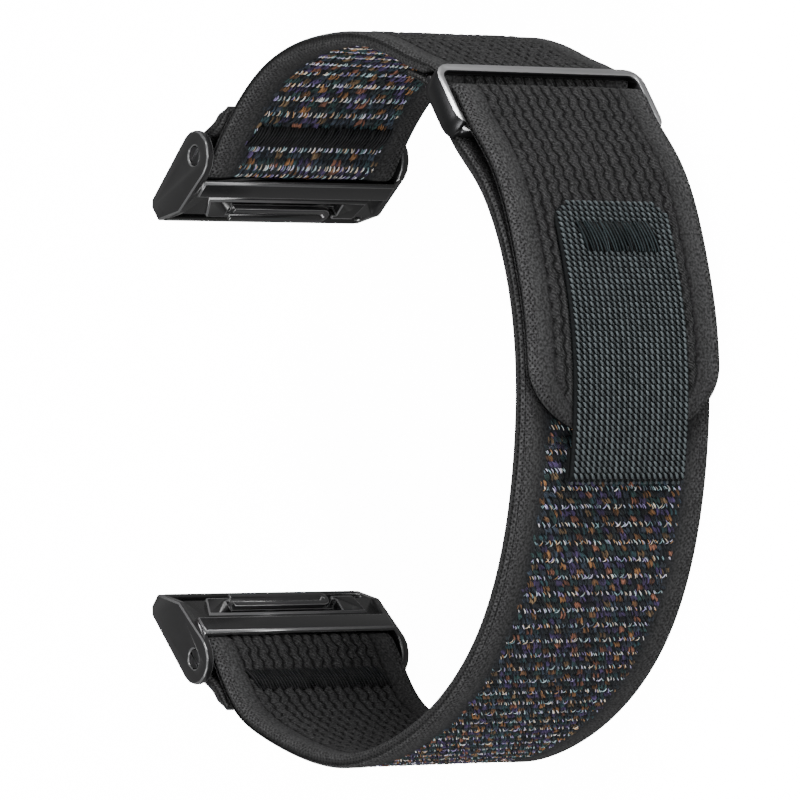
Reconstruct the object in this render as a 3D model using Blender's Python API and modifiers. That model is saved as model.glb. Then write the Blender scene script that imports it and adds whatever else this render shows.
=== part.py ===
# Two-piece nylon watch strap with a fold-back closure, modelled in Blender.
# Metres. The strap lies on its edge: +X is 12 o'clock, -Y is the closure side,
# +Y is the open side, and +Z runs across the strap's width.
import math

import bmesh
import bpy
import numpy as np
from mathutils import Matrix, Vector

# Webbing
STRAP_WIDTH = 0.0260
STRAP_THICKNESS = 0.0016
STRAP_EDGE = 0.0003
PLY_GAP = 0.00035
FOLD_GAP = 0.0002
SIDE_GAP = 0.0003
PIECE_GAP = 0.0003
SAMPLE_STEP = 0.0022
FINE_STEP = 0.0004

# Loop, measured on the webbing's centre line from the adapters' bars
LOOP_HALF_HEIGHT = 0.0410
LOOP_DEPTH = 0.0644
UPPER_LOOP_SHARES = [
    (0.863, 0.140), (0.927, 0.202), (0.976, 0.289), (1.002, 0.437),
    (1.000, 0.490), (0.965, 0.597), (0.925, 0.672),
]
LOWER_LOOP_SHARES = [
    (-0.883, 0.112), (-0.941, 0.193), (-0.984, 0.295), (-1.010, 0.450), (-0.960, 0.600),
    (-0.856, 0.738), (-0.649, 0.881), (-0.449, 0.949), (-0.161, 0.993), (0.073, 1.000),
    (0.304, 0.977), (0.451, 0.941), (0.594, 0.880),
]

# Adapter, in its own plane: p away from the strap, q towards the wrist
ADAPTER_HALF_SPAN_SHARE = 0.7207
ADAPTER_MIDDLE_SHIFT = 0.00105
ADAPTER_TILT = math.radians(48)
STRAP_LEAVING = math.radians(37)
BAR_RADIUS = 0.0009
BAR_BORE_DEPTH = 0.0014
CHEEK_THICKNESS = 0.0010
CHEEK_PROUD = 0.0001
SHALLOW = 0.00005
HOUSING_LENGTH = 0.0078
HOUSING_HEIGHT = 0.0050
HOUSING_CHAMFER = 0.0007
CHEEK_NOSE = 0.0030
RIB_LENGTH = 0.0009
RIB_REACH = 0.0019
RIB_CLEARANCE = 0.0002
RIB_THICKNESS = 0.0004
RIB_GROOVE = 0.0003
PLATE_RISE = 0.0004
PLATE_INSET = 0.0030
PLATE_SLANT = 0.0012
HOOK_RADIUS = 0.00130
HOOK_LIP = 0.0009
HOOK_LIP_RISE = 0.0003
HOOK_SINK = 0.0004
RECESS_DEPTH = 0.0016
RECESS_WALL = 0.0019
SHOULDER = 0.00055
LATCH_WIDTH = 0.0140
LATCH_BASE = 0.0005
LATCH_RIM = 0.0007
LATCH_RIM_RISE = 0.0006
LATCH_RIM_LENGTH = 0.0021
LATCH_COVER = 0.0009
LATCH_FOOT = 0.0006
LATCH_FOOT_WIDTH = 0.0013
LATCH_FOOT_SPACING = 0.0090
LATCH_GAP = 0.00025
SPRING_RADIUS = 0.00060
SPRING_WIRE = 0.00020
SPRING_TURNS = 3
SPRING_STEPS = 10
FRONT_WALL = 0.0004
SCREW_HEAD_RADIUS = 0.0011
SCREW_HEAD = 0.0004
SCREW_SHANK_RADIUS = 0.00045
SCREW_SINK = 0.0001
SCREW_SLOT = 0.0003
RUNNING_GAP = 0.0001
ADAPTER_RETURN = 0.0074
ADAPTER_CLOSING = 0.0050

# Ring, in its own plane: u from its top edge to its lower bar, n out of its face
RING_TOP_SHARES = (0.913, 0.770)
RING_TILT = math.radians(52)
RING_BAR = 0.0011
RING_OPENING = 0.0068
RING_WALL = 0.0010
RING_CORNER = 0.0021
RING_CHAMFER = 0.00015
TOP_BAR_DEPTH = 0.0008
LOWER_BAR_DEPTH = 0.0011
LOWER_BAR_SET_BACK = 0.0011
RING_LOOP_GAP = 0.0004
RELIEF_FILLET = 0.00005
NOSE_SPACE = 0.00125
PIN_RADIUS = 0.00045
PIN_SOCKET = 0.0005
TONGUE_THICKNESS = 0.0006
TONGUE_TAPER = 0.0018
APPROACH_TILT = math.radians(24)
APPROACH_LENGTH = 0.0030
RING_RETURN = 0.0055
TAIL_CLOSING = 0.0200

# Tail with its hook patch and pull tab
TAIL_SPLIT = 0.0016
TAIL_LENGTH = 0.0350
TAIL_TIP = 0.0085
TIP_OVERHANG = 0.0002
PATCH_THICKNESS = 0.0004
PATCH_WIDTH = 0.0200
PATCH_LENGTH = 0.0220
PATCH_MARGIN = 0.0040
SEAT_GAP = 0.00025
TAB_WIDTH = 0.0156
TAB_THICKNESS = 0.0009
TAB_START = 0.0100
TAB_STITCHED = 0.0070
TAB_LENGTH = 0.0287
TAB_CORNER = 0.0025
TAB_HEM = 0.0029
TAB_HEM_GAP = 0.0002

# Bar-tacks, dense bars of stitching
TACK_THICKNESS = 0.0004
TACK_GAP = 0.0002
ADAPTER_TACK_START = 0.0039
ADAPTER_TACK_LENGTH = 0.0030
ADAPTER_TACK_WIDTH = 0.0195
RING_TACK_INSET = 0.0014
RING_TACK_LENGTH = 0.0026
TAB_TACK_INSET = 0.0025
TAB_TACK_LENGTH = 0.0035
TAB_TACK_WIDTH = 0.0110

OVERRUN = 0.0010
MERGE = 0.000002
ROUND_SIDES = 16
FOLD_POINTS = 9
NOSE_POINTS = 11

# Sizes that follow from the ones above
HALF_STRAP = STRAP_WIDTH / 2
HALF_PLY = STRAP_THICKNESS / 2
INNER_HALF_WIDTH = HALF_STRAP + SIDE_GAP
HALF_WIDTH = INNER_HALF_WIDTH + max(RING_WALL, CHEEK_THICKNESS)
BAR_FOLD = BAR_RADIUS + FOLD_GAP + HALF_PLY
RIB_UNDERSIDE = BAR_FOLD + HALF_PLY + RIB_CLEARANCE
HOUSING_FRONT = BAR_RADIUS + FOLD_GAP + STRAP_THICKNESS + PIECE_GAP
HOUSING_END = HOUSING_FRONT + HOUSING_LENGTH
PLY_PITCH = STRAP_THICKNESS + PLY_GAP
LOWER_BAR_CENTRE = LOWER_BAR_SET_BACK + LOWER_BAR_DEPTH / 2
NOSE_FOLD = LOWER_BAR_DEPTH / 2 + RING_LOOP_GAP + HALF_PLY
NOSE_U = RING_BAR + NOSE_SPACE + NOSE_FOLD + HALF_PLY
RING_HEIGHT = RING_OPENING + 2 * RING_BAR
WRAP_INNER = PIN_RADIUS + FOLD_GAP
WRAP_OUTER = WRAP_INNER + TONGUE_THICKNESS
PIN_N = TOP_BAR_DEPTH + FOLD_GAP + WRAP_OUTER
SOCKET_RADIUS = PIN_RADIUS + RUNNING_GAP
RING_DEPTH = PIN_N + SOCKET_RADIUS + PIECE_GAP

COLOURS = {
    "webbing": ((0.055, 0.055, 0.058), 0.9, 0.0),
    "tab": ((0.045, 0.058, 0.066), 0.85, 0.0),
    "thread": ((0.010, 0.012, 0.013), 0.7, 0.0),
    "hook": ((0.015, 0.015, 0.016), 0.6, 0.0),
    "ring": ((0.300, 0.300, 0.310), 0.32, 1.0),
    "steel": ((0.350, 0.350, 0.360), 0.3, 1.0),
    "adapter": ((0.018, 0.018, 0.020), 0.38, 0.8),
    "latch": ((0.040, 0.040, 0.044), 0.32, 0.9),
}


# Scene and materials

def new_collection(name):
    collection = bpy.data.collections.new(name)
    bpy.context.scene.collection.children.link(collection)
    return collection


def material_for(name, finish):
    colour, roughness, metallic = COLOURS[finish]
    material = bpy.data.materials.new(name)
    material.use_nodes = True
    shader = material.node_tree.nodes["Principled BSDF"]
    shader.inputs["Base Color"].default_value = (*colour, 1.0)
    shader.inputs["Roughness"].default_value = roughness
    shader.inputs["Metallic"].default_value = metallic
    material.diffuse_color = (*colour, 1.0)
    return material


def new_piece(name, mesh, finish, axis=None):
    piece = bpy.data.objects.new(name, mesh)
    if finish is None:
        cutters.objects.link(piece)
        piece.hide_render = True
        piece.display_type = "WIRE"
    else:
        parts.objects.link(piece)
        mesh.materials.append(material_for(name, finish))
        mesh.shade_smooth()
        mesh.set_sharp_from_angle(angle=math.radians(35))
    if axis is not None:
        piece.parent = axis
    return piece


def joint_axis(name, place, x_direction=(1, 0), flipped=False, parent=None):
    # An empty on a joint's axis; its x and y lie in the strap's plane
    x = Vector((*x_direction, 0)).normalized()
    z = Vector((0, 0, -1 if flipped else 1))
    y = z.cross(x)
    turn = Matrix((x, y, z)).transposed().to_4x4()
    axis = bpy.data.objects.new(name, None)
    axis.empty_display_size = STRAP_WIDTH / 2
    parts.objects.link(axis)
    axis_frames[name] = Matrix.Translation((place[0], place[1], 0)) @ turn
    axis.matrix_basis = axis_frames[name]
    hang(axis, parent or base)
    return axis


def hang(piece, axis):
    # Parents a piece that is placed in the strap's plane to an axis without moving it
    piece.parent = axis
    piece.matrix_parent_inverse = axis_frames[axis.name].inverted()


def cut(target, cutter, operation="DIFFERENCE"):
    modifier = target.modifiers.new(cutter.name, "BOOLEAN")
    modifier.operation = operation
    modifier.object = cutter
    modifier.solver = "EXACT"


def soften(piece, width, segments=1):
    modifier = piece.modifiers.new("edges", "BEVEL")
    modifier.width = width
    modifier.segments = segments
    modifier.limit_method = "ANGLE"
    modifier.angle_limit = math.radians(60)
    modifier.use_clamp_overlap = True


# Solids

def outline_mesh(name, outline, half_extrude):
    # A filled flat outline, extruded both ways along z, as one closed mesh
    curve = bpy.data.curves.new(name, "CURVE")
    curve.dimensions = "2D"
    curve.fill_mode = "BOTH"
    curve.extrude = half_extrude
    spline = curve.splines.new("POLY")
    spline.points.add(len(outline) - 1)
    for point, (x, y) in zip(spline.points, outline):
        point.co = (x, y, 0, 1)
    spline.use_cyclic_u = True
    holder = bpy.data.objects.new(name, curve)
    bpy.context.scene.collection.objects.link(holder)
    depsgraph = bpy.context.evaluated_depsgraph_get()
    mesh = bpy.data.meshes.new_from_object(holder.evaluated_get(depsgraph))
    bpy.data.objects.remove(holder)
    clean_mesh(mesh)
    return mesh


def clean_mesh(mesh):
    shape = bmesh.new()
    shape.from_mesh(mesh)
    bmesh.ops.remove_doubles(shape, verts=shape.verts, dist=MERGE)
    bmesh.ops.recalc_face_normals(shape, faces=shape.faces)
    shape.to_mesh(mesh)
    shape.free()


def outline_piece(name, outline, low, high, finish, axis=None):
    mesh = outline_mesh(name, outline, (high - low) / 2)
    mesh.transform(Matrix.Translation((0, 0, (high + low) / 2)))
    return new_piece(name, mesh, finish, axis)


def block(name, x_span, y_span, z_span, finish, axis=None):
    shape = bmesh.new()
    bmesh.ops.create_cube(shape, size=1)
    low, high = (Vector(corner) for corner in zip(x_span, y_span, z_span))
    size = high - low
    bmesh.ops.scale(shape, vec=size, verts=shape.verts)
    bmesh.ops.translate(shape, vec=(low + high) / 2, verts=shape.verts)
    mesh = bpy.data.meshes.new(name)
    shape.to_mesh(mesh)
    shape.free()
    return new_piece(name, mesh, finish, axis)


def rod(name, radius, low, high, finish, axis):
    # A cylinder on an axis
    shape = bmesh.new()
    sizes = {"radius1": radius, "radius2": radius, "depth": high - low}
    bmesh.ops.create_cone(shape, cap_ends=True, segments=ROUND_SIDES, **sizes)
    bmesh.ops.translate(shape, vec=(0, 0, (low + high) / 2), verts=shape.verts)
    mesh = bpy.data.meshes.new(name)
    shape.to_mesh(mesh)
    shape.free()
    return new_piece(name, mesh, finish, axis)


# Lines in the strap's plane

def smooth_line(points):
    # A natural cubic spline through the points, read at even fine steps
    points = np.array(points)
    spans = np.hypot(*np.diff(points, axis=0).T)
    knots = np.concatenate(([0], np.cumsum(spans)))
    count = len(points)
    system = np.zeros((count, count))
    right = np.zeros((count, 2))
    system[0, 0] = system[-1, -1] = 1
    for i in range(1, count - 1):
        before, after = spans[i - 1], spans[i]
        system[i, i - 1:i + 2] = before, 2 * (before + after), after
        slope_after = (points[i + 1] - points[i]) / after
        slope_before = (points[i] - points[i - 1]) / before
        right[i] = 6 * (slope_after - slope_before)
    bends = np.linalg.solve(system, right)
    places = np.linspace(0, knots[-1], round(knots[-1] / FINE_STEP))
    index = np.clip(np.searchsorted(knots, places, "right") - 1, 0, count - 2)
    span = spans[index][:, None]
    after = (places - knots[index])[:, None]
    before = span - after
    start, end = points[index], points[index + 1]
    bend_start, bend_end = bends[index], bends[index + 1]
    return (
        bend_start * before**3 / (6 * span) + bend_end * after**3 / (6 * span)
        + (start / span - bend_start * span / 6) * before
        + (end / span - bend_end * span / 6) * after
    )


def base_line(points, side):
    # A smooth line with its outward normals; side is +1 where outward lies to its left
    line = smooth_line(points)
    steps = np.hypot(*np.diff(line, axis=0).T)
    distance = np.concatenate(([0], np.cumsum(steps)))
    tangent = np.gradient(line, distance, axis=0)
    tangent /= np.hypot(*tangent.T)[:, None]
    normal = side * np.stack((-tangent[:, 1], tangent[:, 0]), axis=1)
    return {"points": line, "normals": normal, "distance": distance, "length": distance[-1]}


def read(line, key, distances):
    return np.stack([np.interp(distances, line["distance"], line[key][:, i]) for i in (0, 1)], axis=1)


def run(line, start, end, offset):
    # Points beside the line from one distance to another; offset is a length or a function
    count = max(2, round(abs(end - start) / SAMPLE_STEP) + 1)
    distances = np.linspace(start, end, count)
    offsets = offset(distances) if callable(offset) else np.full(count, offset)
    return read(line, "points", distances) + read(line, "normals", distances) * offsets[:, None]


def spot(line, distance, offset):
    return run(line, distance, distance, offset)[0]


def half_turn(centre, radius, first, through, count):
    # The inner points of a half circle from one direction, round through another
    angles = np.linspace(0, math.pi, count + 2)[1:-1]
    return np.array(centre) + radius * (np.outer(np.cos(angles), first) + np.outer(np.sin(angles), through))


def ease(share):
    share = np.clip(share, 0, 1)
    return share * share * (3 - 2 * share)


def closing(wide, close, length):
    # The distance between two plies that lie apart at a bar and come together over a length
    return lambda distances: close + (wide - close) * (1 - ease(distances / length))


def ribbon(name, left, right, width, finish, axis=None):
    outline = np.concatenate(left + [side[::-1] for side in reversed(right)])
    return outline_piece(name, outline, -width / 2, width / 2, finish, axis)


def slab(name, line, start, end, low, high, width, finish, axis=None):
    # A flat strip beside a line, between two offsets
    sides = [run(line, start, end, high)], [run(line, start, end, low)]
    return ribbon(name, *sides, width, finish, axis)


def add(offset, shift):
    return lambda distances: offset(distances) + shift


# The loop's lines

def direction(angle, mirror=1):
    return np.array((mirror * math.cos(angle), -math.sin(angle)))


def loop_points(shares):
    return [(x * LOOP_HALF_HEIGHT, -depth * LOOP_DEPTH) for x, depth in shares]


ring_along = np.array((-math.sin(RING_TILT), -math.cos(RING_TILT)))
ring_out = np.array((math.cos(RING_TILT), -math.sin(RING_TILT)))
ring_top = np.array((RING_TOP_SHARES[0] * LOOP_HALF_HEIGHT, -RING_TOP_SHARES[1] * LOOP_DEPTH))
approach = np.array((-math.sin(APPROACH_TILT), -math.cos(APPROACH_TILT)))
approach_out = np.array((math.cos(APPROACH_TILT), -math.sin(APPROACH_TILT)))


def on_ring(u, n):
    return ring_top + u * ring_along - n * ring_out


pin_place = on_ring(RING_BAR / 2, PIN_N)
nose_place = on_ring(NOSE_U, LOWER_BAR_CENTRE)
lower_bar_place = on_ring(RING_HEIGHT - RING_BAR / 2, LOWER_BAR_CENTRE)


def adapter_frame(mirror):
    # Where an adapter's bar lies, the way its strap leaves, and the strap's wrist side
    bar = np.array((mirror * ADAPTER_HALF_SPAN_SHARE * LOOP_HALF_HEIGHT - ADAPTER_MIDDLE_SHIFT, 0))
    leaving = direction(STRAP_LEAVING, mirror)
    wrist = np.array((-mirror * math.sin(STRAP_LEAVING), -math.cos(STRAP_LEAVING)))
    return bar, leaving, wrist


def upper_line():
    bar, leaving, wrist = adapter_frame(1)
    start = bar + wrist * BAR_FOLD
    end = pin_place + approach_out * (WRAP_OUTER - HALF_PLY)
    points = [start, start + leaving * BAR_FOLD]
    points += loop_points(UPPER_LOOP_SHARES)
    points += [end - approach * APPROACH_LENGTH, end]
    return base_line(points, 1)


def lower_line():
    bar, leaving, wrist = adapter_frame(-1)
    start = bar + wrist * BAR_FOLD
    points = [start, start + leaving * BAR_FOLD]
    points += loop_points(LOWER_LOOP_SHARES)
    points += [lower_bar_place - ring_out * NOSE_FOLD, nose_place - ring_out * NOSE_FOLD]
    return base_line(points, -1)


# Straps

def adapter_fold(line, mirror):
    # The webbing's return outside, its turn round the adapter's bar, as two sides
    bar, leaving, wrist = adapter_frame(mirror)
    apart = closing(2 * BAR_FOLD, PLY_PITCH, ADAPTER_CLOSING)
    turn = (-wrist, -leaving, FOLD_POINTS)
    left = [
        run(line, ADAPTER_RETURN, 0, add(apart, HALF_PLY)),
        half_turn(bar, BAR_FOLD + HALF_PLY, *turn),
    ]
    right = [
        run(line, ADAPTER_RETURN, 0, add(apart, -HALF_PLY)),
        half_turn(bar, BAR_FOLD - HALF_PLY, *turn),
    ]
    return left, right


def make_upper_strap(line):
    # At its end the webbing is pressed thin and turned round the ring's pin
    left, right = adapter_fold(line, 1)
    end = line["length"]
    taper_end = end - 2 * WRAP_INNER
    taper_start = taper_end - TONGUE_TAPER

    def thickness(distances):
        share = (distances - taper_start) / (taper_end - taper_start)
        return STRAP_THICKNESS + (TONGUE_THICKNESS - STRAP_THICKNESS) * ease(share)

    def wrist_side(distances):
        return HALF_PLY - thickness(distances)

    back = HALF_PLY - 2 * WRAP_OUTER
    turn = (approach_out, approach, FOLD_POINTS)
    left += [
        run(line, 0, taper_start, -HALF_PLY),
        run(line, taper_start + TONGUE_TAPER / 4, taper_end, wrist_side),
        run(line, taper_end + WRAP_INNER, end, HALF_PLY - TONGUE_THICKNESS),
        half_turn(pin_place, WRAP_INNER, *turn),
        run(line, end, end - RING_RETURN, back + TONGUE_THICKNESS),
    ]
    right += [
        run(line, 0, taper_start, HALF_PLY),
        run(line, taper_start + TONGUE_TAPER / 4, taper_end, HALF_PLY),
        run(line, taper_end + WRAP_INNER, end, HALF_PLY),
        half_turn(pin_place, WRAP_OUTER, *turn),
        run(line, end, end - RING_RETURN, back),
    ]
    strap = ribbon("upper_strap", left, right, STRAP_WIDTH, "webbing", base)
    soften(strap, min(STRAP_EDGE, TONGUE_THICKNESS / 3))
    return strap


def tail_apart(line):
    # The distance from the strap under the tail to the tail, by distance along the strap
    bar_at = line["length"] - (RING_HEIGHT - RING_BAR / 2 - NOSE_U)
    apart = closing(2 * NOSE_FOLD, PLY_PITCH, TAIL_CLOSING)
    return bar_at, lambda distances: apart(bar_at - distances)


def make_lower_strap(line):
    # Up through the ring, back over its lower bar, and on to where the tail bends away
    left, right = adapter_fold(line, -1)
    end = line["length"]
    bar_at, apart = tail_apart(line)
    turn = (-ring_out, -ring_along, NOSE_POINTS)
    last = bar_at - TAIL_SPLIT
    left += [
        run(line, 0, end, -HALF_PLY), half_turn(nose_place, NOSE_FOLD + HALF_PLY, *turn),
        run(line, end, last, add(apart, HALF_PLY)),
    ]
    right += [
        run(line, 0, end, HALF_PLY), half_turn(nose_place, NOSE_FOLD - HALF_PLY, *turn),
        run(line, end, last, add(apart, -HALF_PLY)),
    ]
    strap = ribbon("lower_strap", left, right, STRAP_WIDTH, "webbing", base)
    soften(strap, STRAP_EDGE)
    return strap


def round_end(target, line, distance, offset, forward, width, rounding, overhang):
    # Cuts a strip's end to a rounded one, with a cutter that runs along its normal
    centre = spot(line, distance, offset)
    normal = read(line, "normals", [distance])[0]
    normal = Vector((*(normal / np.hypot(*normal)), 0))
    along = forward * normal.cross(Vector((0, 0, 1)))
    half = width / 2 + overhang
    angles = np.linspace(0, math.pi / 2, ROUND_SIDES // 2)
    ahead = rounding * np.sin(angles) - rounding
    corner = np.stack((ahead, half - rounding + rounding * np.cos(angles)), axis=1)
    if rounding > width / 3:
        corner[:, 1] = half * np.cos(angles)
    other = corner[::-1] * (1, -1)
    back, wide = -rounding, half + OVERRUN
    frame = [(back, -wide), (OVERRUN, -wide), (OVERRUN, wide), (back, wide)]
    outline = np.concatenate((corner, other, frame))
    mesh = outline_mesh(target.name + "_end", outline, rounding + OVERRUN)
    turn = Matrix((along, Vector((0, 0, 1)), along.cross(Vector((0, 0, 1))))).transposed().to_4x4()
    mesh.transform(Matrix.Translation((*centre, 0)) @ turn)
    clean_mesh(mesh)
    cut(target, new_piece(target.name + "_end", mesh, None, target.parent))


def to_axis(piece, axis):
    # Hangs a piece and its cutters on a joint's empty
    hang(piece, axis)
    for modifier in piece.modifiers:
        if modifier.type == "BOOLEAN":
            hang(modifier.object, axis)


def make_tail(line):
    bar_at, apart = tail_apart(line)
    start = bar_at - TAIL_SPLIT - PIECE_GAP
    tip = start - TAIL_LENGTH
    axis = joint_axis("tail_axis", spot(line, start + PIECE_GAP / 2, add(apart, HALF_PLY)))
    faces = add(apart, -HALF_PLY), add(apart, HALF_PLY)
    tail = slab("strap_tail", line, start, tip, *faces, STRAP_WIDTH, "webbing", base)
    soften(tail, STRAP_EDGE)
    round_end(tail, line, tip, PLY_PITCH, 1, STRAP_WIDTH, TAIL_TIP, TIP_OVERHANG)
    floor = PLY_PITCH - HALF_PLY
    pocket_end = tip + PATCH_MARGIN
    pocket = slab(
        "hook_pocket", line, pocket_end + PATCH_LENGTH + PIECE_GAP, pocket_end - PIECE_GAP,
        floor - PLY_GAP / 2, floor + PATCH_THICKNESS + SEAT_GAP, PATCH_WIDTH + 2 * PIECE_GAP, None, base,
    )
    cut(tail, pocket)
    patch = slab(
        "hook_patch", line, pocket_end + PATCH_LENGTH, pocket_end,
        floor, floor + PATCH_THICKNESS, PATCH_WIDTH, "hook", base,
    )
    to_axis(tail, axis)
    to_axis(patch, axis)
    return start, axis


def make_tab(line, tail_start, tail_axis):
    # A doubled pull tab: its top is stitched to the tail, its hem reaches past the tail's tip
    top = tail_start - TAB_START
    bend = top - TAB_STITCHED
    end = top - TAB_LENGTH
    bar_at, apart = tail_apart(line)
    low = add(apart, HALF_PLY + PIECE_GAP)
    high = add(apart, HALF_PLY + PIECE_GAP + TAB_THICKNESS)
    stitched = slab("tab_stitched_end", line, top, bend + PIECE_GAP / 2, low, high, TAB_WIDTH, "tab", base)
    middle = float(apart(top)) + HALF_PLY + PIECE_GAP + TAB_THICKNESS / 2
    round_end(stitched, line, top, middle, -1, TAB_WIDTH, TAB_CORNER, 0)
    to_axis(stitched, tail_axis)

    axis = joint_axis("tab_axis", spot(line, bend, high), parent=tail_axis)
    start = bend - PIECE_GAP / 2
    hem_fold = TAB_THICKNESS + TAB_HEM_GAP / 2
    hem_at = float(apart(end)) + HALF_PLY + PIECE_GAP - TAB_HEM_GAP / 2
    out = read(line, "normals", [end])[0]
    out = out / np.hypot(*out)
    past = read(line, "points", [end - SAMPLE_STEP])[0] - read(line, "points", [end])[0]
    past = past / np.hypot(*past)
    turn = (out, past, FOLD_POINTS)
    centre = spot(line, end, hem_at)
    hem_low = hem_at - TAB_HEM_GAP / 2 - TAB_THICKNESS
    left = [
        run(line, start, end, high), half_turn(centre, hem_fold, *turn),
        run(line, end, end + TAB_HEM, hem_low),
    ]
    right = [
        run(line, start, end, low), half_turn(centre, TAB_HEM_GAP / 2, *turn),
        run(line, end, end + TAB_HEM, hem_low + TAB_THICKNESS),
    ]
    tab = ribbon("pull_tab", left, right, TAB_WIDTH, "tab", base)
    to_axis(tab, axis)

    tack_start = top - TAB_TACK_INSET
    tack = slab(
        "tab_bartack", line, tack_start, tack_start - TAB_TACK_LENGTH,
        add(high, TACK_GAP), add(high, TACK_GAP + TACK_THICKNESS), TAB_TACK_WIDTH, "thread", base,
    )
    to_axis(tack, tail_axis)


def make_tacks(upper, lower):
    low = -HALF_PLY - TACK_GAP - TACK_THICKNESS
    high = -HALF_PLY - TACK_GAP
    for name, line in (("upper_bartack", upper), ("lower_bartack", lower)):
        end = ADAPTER_TACK_START + ADAPTER_TACK_LENGTH
        slab(name, line, ADAPTER_TACK_START, end, low, high, ADAPTER_TACK_WIDTH, "thread", base)
    start = upper["length"] - RING_RETURN + RING_TACK_INSET
    back = HALF_PLY - 2 * WRAP_OUTER - TACK_GAP
    slab(
        "ring_bartack", upper, start, start + RING_TACK_LENGTH,
        back - TACK_THICKNESS, back, ADAPTER_TACK_WIDTH, "thread", base,
    )


# Ring

def rounded_rectangle(low_x, high_x, low_y, high_y, radius):
    # Corner centres anticlockwise from the high corner
    centres = [
        (high_x - radius, high_y - radius), (low_x + radius, high_y - radius),
        (low_x + radius, low_y + radius), (high_x - radius, low_y + radius),
    ]
    points = []
    for quarter, (x, y) in enumerate(centres):
        for angle in np.linspace(quarter, quarter + 1, ROUND_SIDES // 3) * math.pi / 2:
            points.append((x + radius * math.cos(angle), y + radius * math.sin(angle)))
    return points


def make_ring():
    # Built with u along x, the width along y and the face up, then turned onto its pin's axis
    axis = joint_axis("ring_axis", pin_place, ring_along)
    stand = Matrix(((1, 0, 0, -RING_BAR / 2), (0, 0, 1, PIN_N), (0, -1, 0, 0), (0, 0, 0, 1)))

    def placed(piece):
        piece.data.transform(stand)
        piece.parent = axis
        return piece

    outer = rounded_rectangle(0, RING_HEIGHT, -HALF_WIDTH, HALF_WIDTH, RING_CORNER)
    inner_corner = RING_CORNER - RING_BAR
    inner = rounded_rectangle(
        RING_BAR, RING_HEIGHT - RING_BAR, -INNER_HALF_WIDTH, INNER_HALF_WIDTH, inner_corner,
    )
    ring = placed(outline_piece("ring", outer, -RING_DEPTH, 0, "ring"))
    cut(ring, placed(outline_piece("ring_opening", inner, -RING_DEPTH - OVERRUN, OVERRUN, None)))
    soften(ring, RING_CHAMFER)
    behind = -RING_DEPTH - OVERRUN
    across = (RELIEF_FILLET - INNER_HALF_WIDTH, INNER_HALF_WIDTH - RELIEF_FILLET)
    top_span = (-OVERRUN, RING_BAR + inner_corner)
    top_back = block("top_bar_back", top_span, across, (behind, -TOP_BAR_DEPTH), None)
    lower_span = (RING_HEIGHT - RING_BAR - inner_corner, RING_HEIGHT + OVERRUN)
    front = block("lower_bar_front", lower_span, across, (-LOWER_BAR_SET_BACK, OVERRUN), None)
    lower_back = -LOWER_BAR_SET_BACK - LOWER_BAR_DEPTH
    back = block("lower_bar_back", lower_span, across, (behind, lower_back), None)
    for cutter in (top_back, front, back):
        cut(ring, placed(cutter))
    socket = INNER_HALF_WIDTH + PIN_SOCKET
    cut(ring, rod("pin_socket", SOCKET_RADIUS, -socket, socket, None, axis))
    pin = socket - RUNNING_GAP
    rod("ring_pin", PIN_RADIUS, -pin, pin, "steel", axis)


# Adapters

def plan_piece(name, outline, low, high, axis):
    # A cutter from an outline seen from the wrist side, as (p, z), between two heights q
    mesh = outline_mesh(name, outline, (high - low) / 2)
    mesh.transform(Matrix(((1, 0, 0, 0), (0, 0, -1, (low + high) / 2), (0, 1, 0, 0), (0, 0, 0, 1))))
    return new_piece(name, mesh, None, axis)


def housing_profile():
    # Side view: rib that reaches over the strap's turn, raised plate, and the open hook
    top = HOUSING_HEIGHT / 2
    front, end = HOUSING_FRONT, HOUSING_END
    hook = end - HOOK_LIP - HOOK_RADIUS
    sink = top - HOOK_SINK - HOOK_RADIUS - RECESS_DEPTH / 2
    lip = sink + HOOK_LIP_RISE
    rib_top = RIB_UNDERSIDE + RIB_THICKNESS
    rib_side = RIB_LENGTH / 4
    rib_edge = front - RIB_REACH
    groove = front + RIB_LENGTH + RIB_GROOVE
    plate = top + PLATE_RISE
    angles = np.linspace(0, -math.pi, FOLD_POINTS)
    bowl = [(hook + HOOK_RADIUS * math.cos(a), sink + HOOK_RADIUS * math.sin(a)) for a in angles]
    return [
        (front, -top + HOUSING_CHAMFER), (front + HOUSING_CHAMFER, -top), (end - HOUSING_CHAMFER, -top),
        (end, -top + HOUSING_CHAMFER), (end, lip), (end - HOOK_LIP / 2, lip + HOOK_LIP / 3),
        *bowl,
        (hook - HOOK_RADIUS, plate), (groove + PLATE_RISE, plate), (groove, top), (front + RIB_LENGTH, top),
        (front + RIB_LENGTH - rib_side, rib_top), (rib_edge + rib_side, rib_top),
        (rib_edge, RIB_UNDERSIDE), (front, RIB_UNDERSIDE),
    ], hook


def cheek_profile():
    # The outline of a cheek, round at the bar
    top = HOUSING_HEIGHT / 2 + CHEEK_PROUD
    angles = np.linspace(math.pi / 2, 3 * math.pi / 2, FOLD_POINTS)
    nose = [(CHEEK_NOSE * math.cos(a), CHEEK_NOSE * math.sin(a)) for a in angles]
    end = HOUSING_END + CHEEK_PROUD
    return nose + [
        (end - HOUSING_CHAMFER, -top), (end, -top + HOUSING_CHAMFER),
        (end, HOOK_LIP_RISE / 2), (HOUSING_FRONT + HOUSING_LENGTH / 2, top),
    ]


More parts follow.
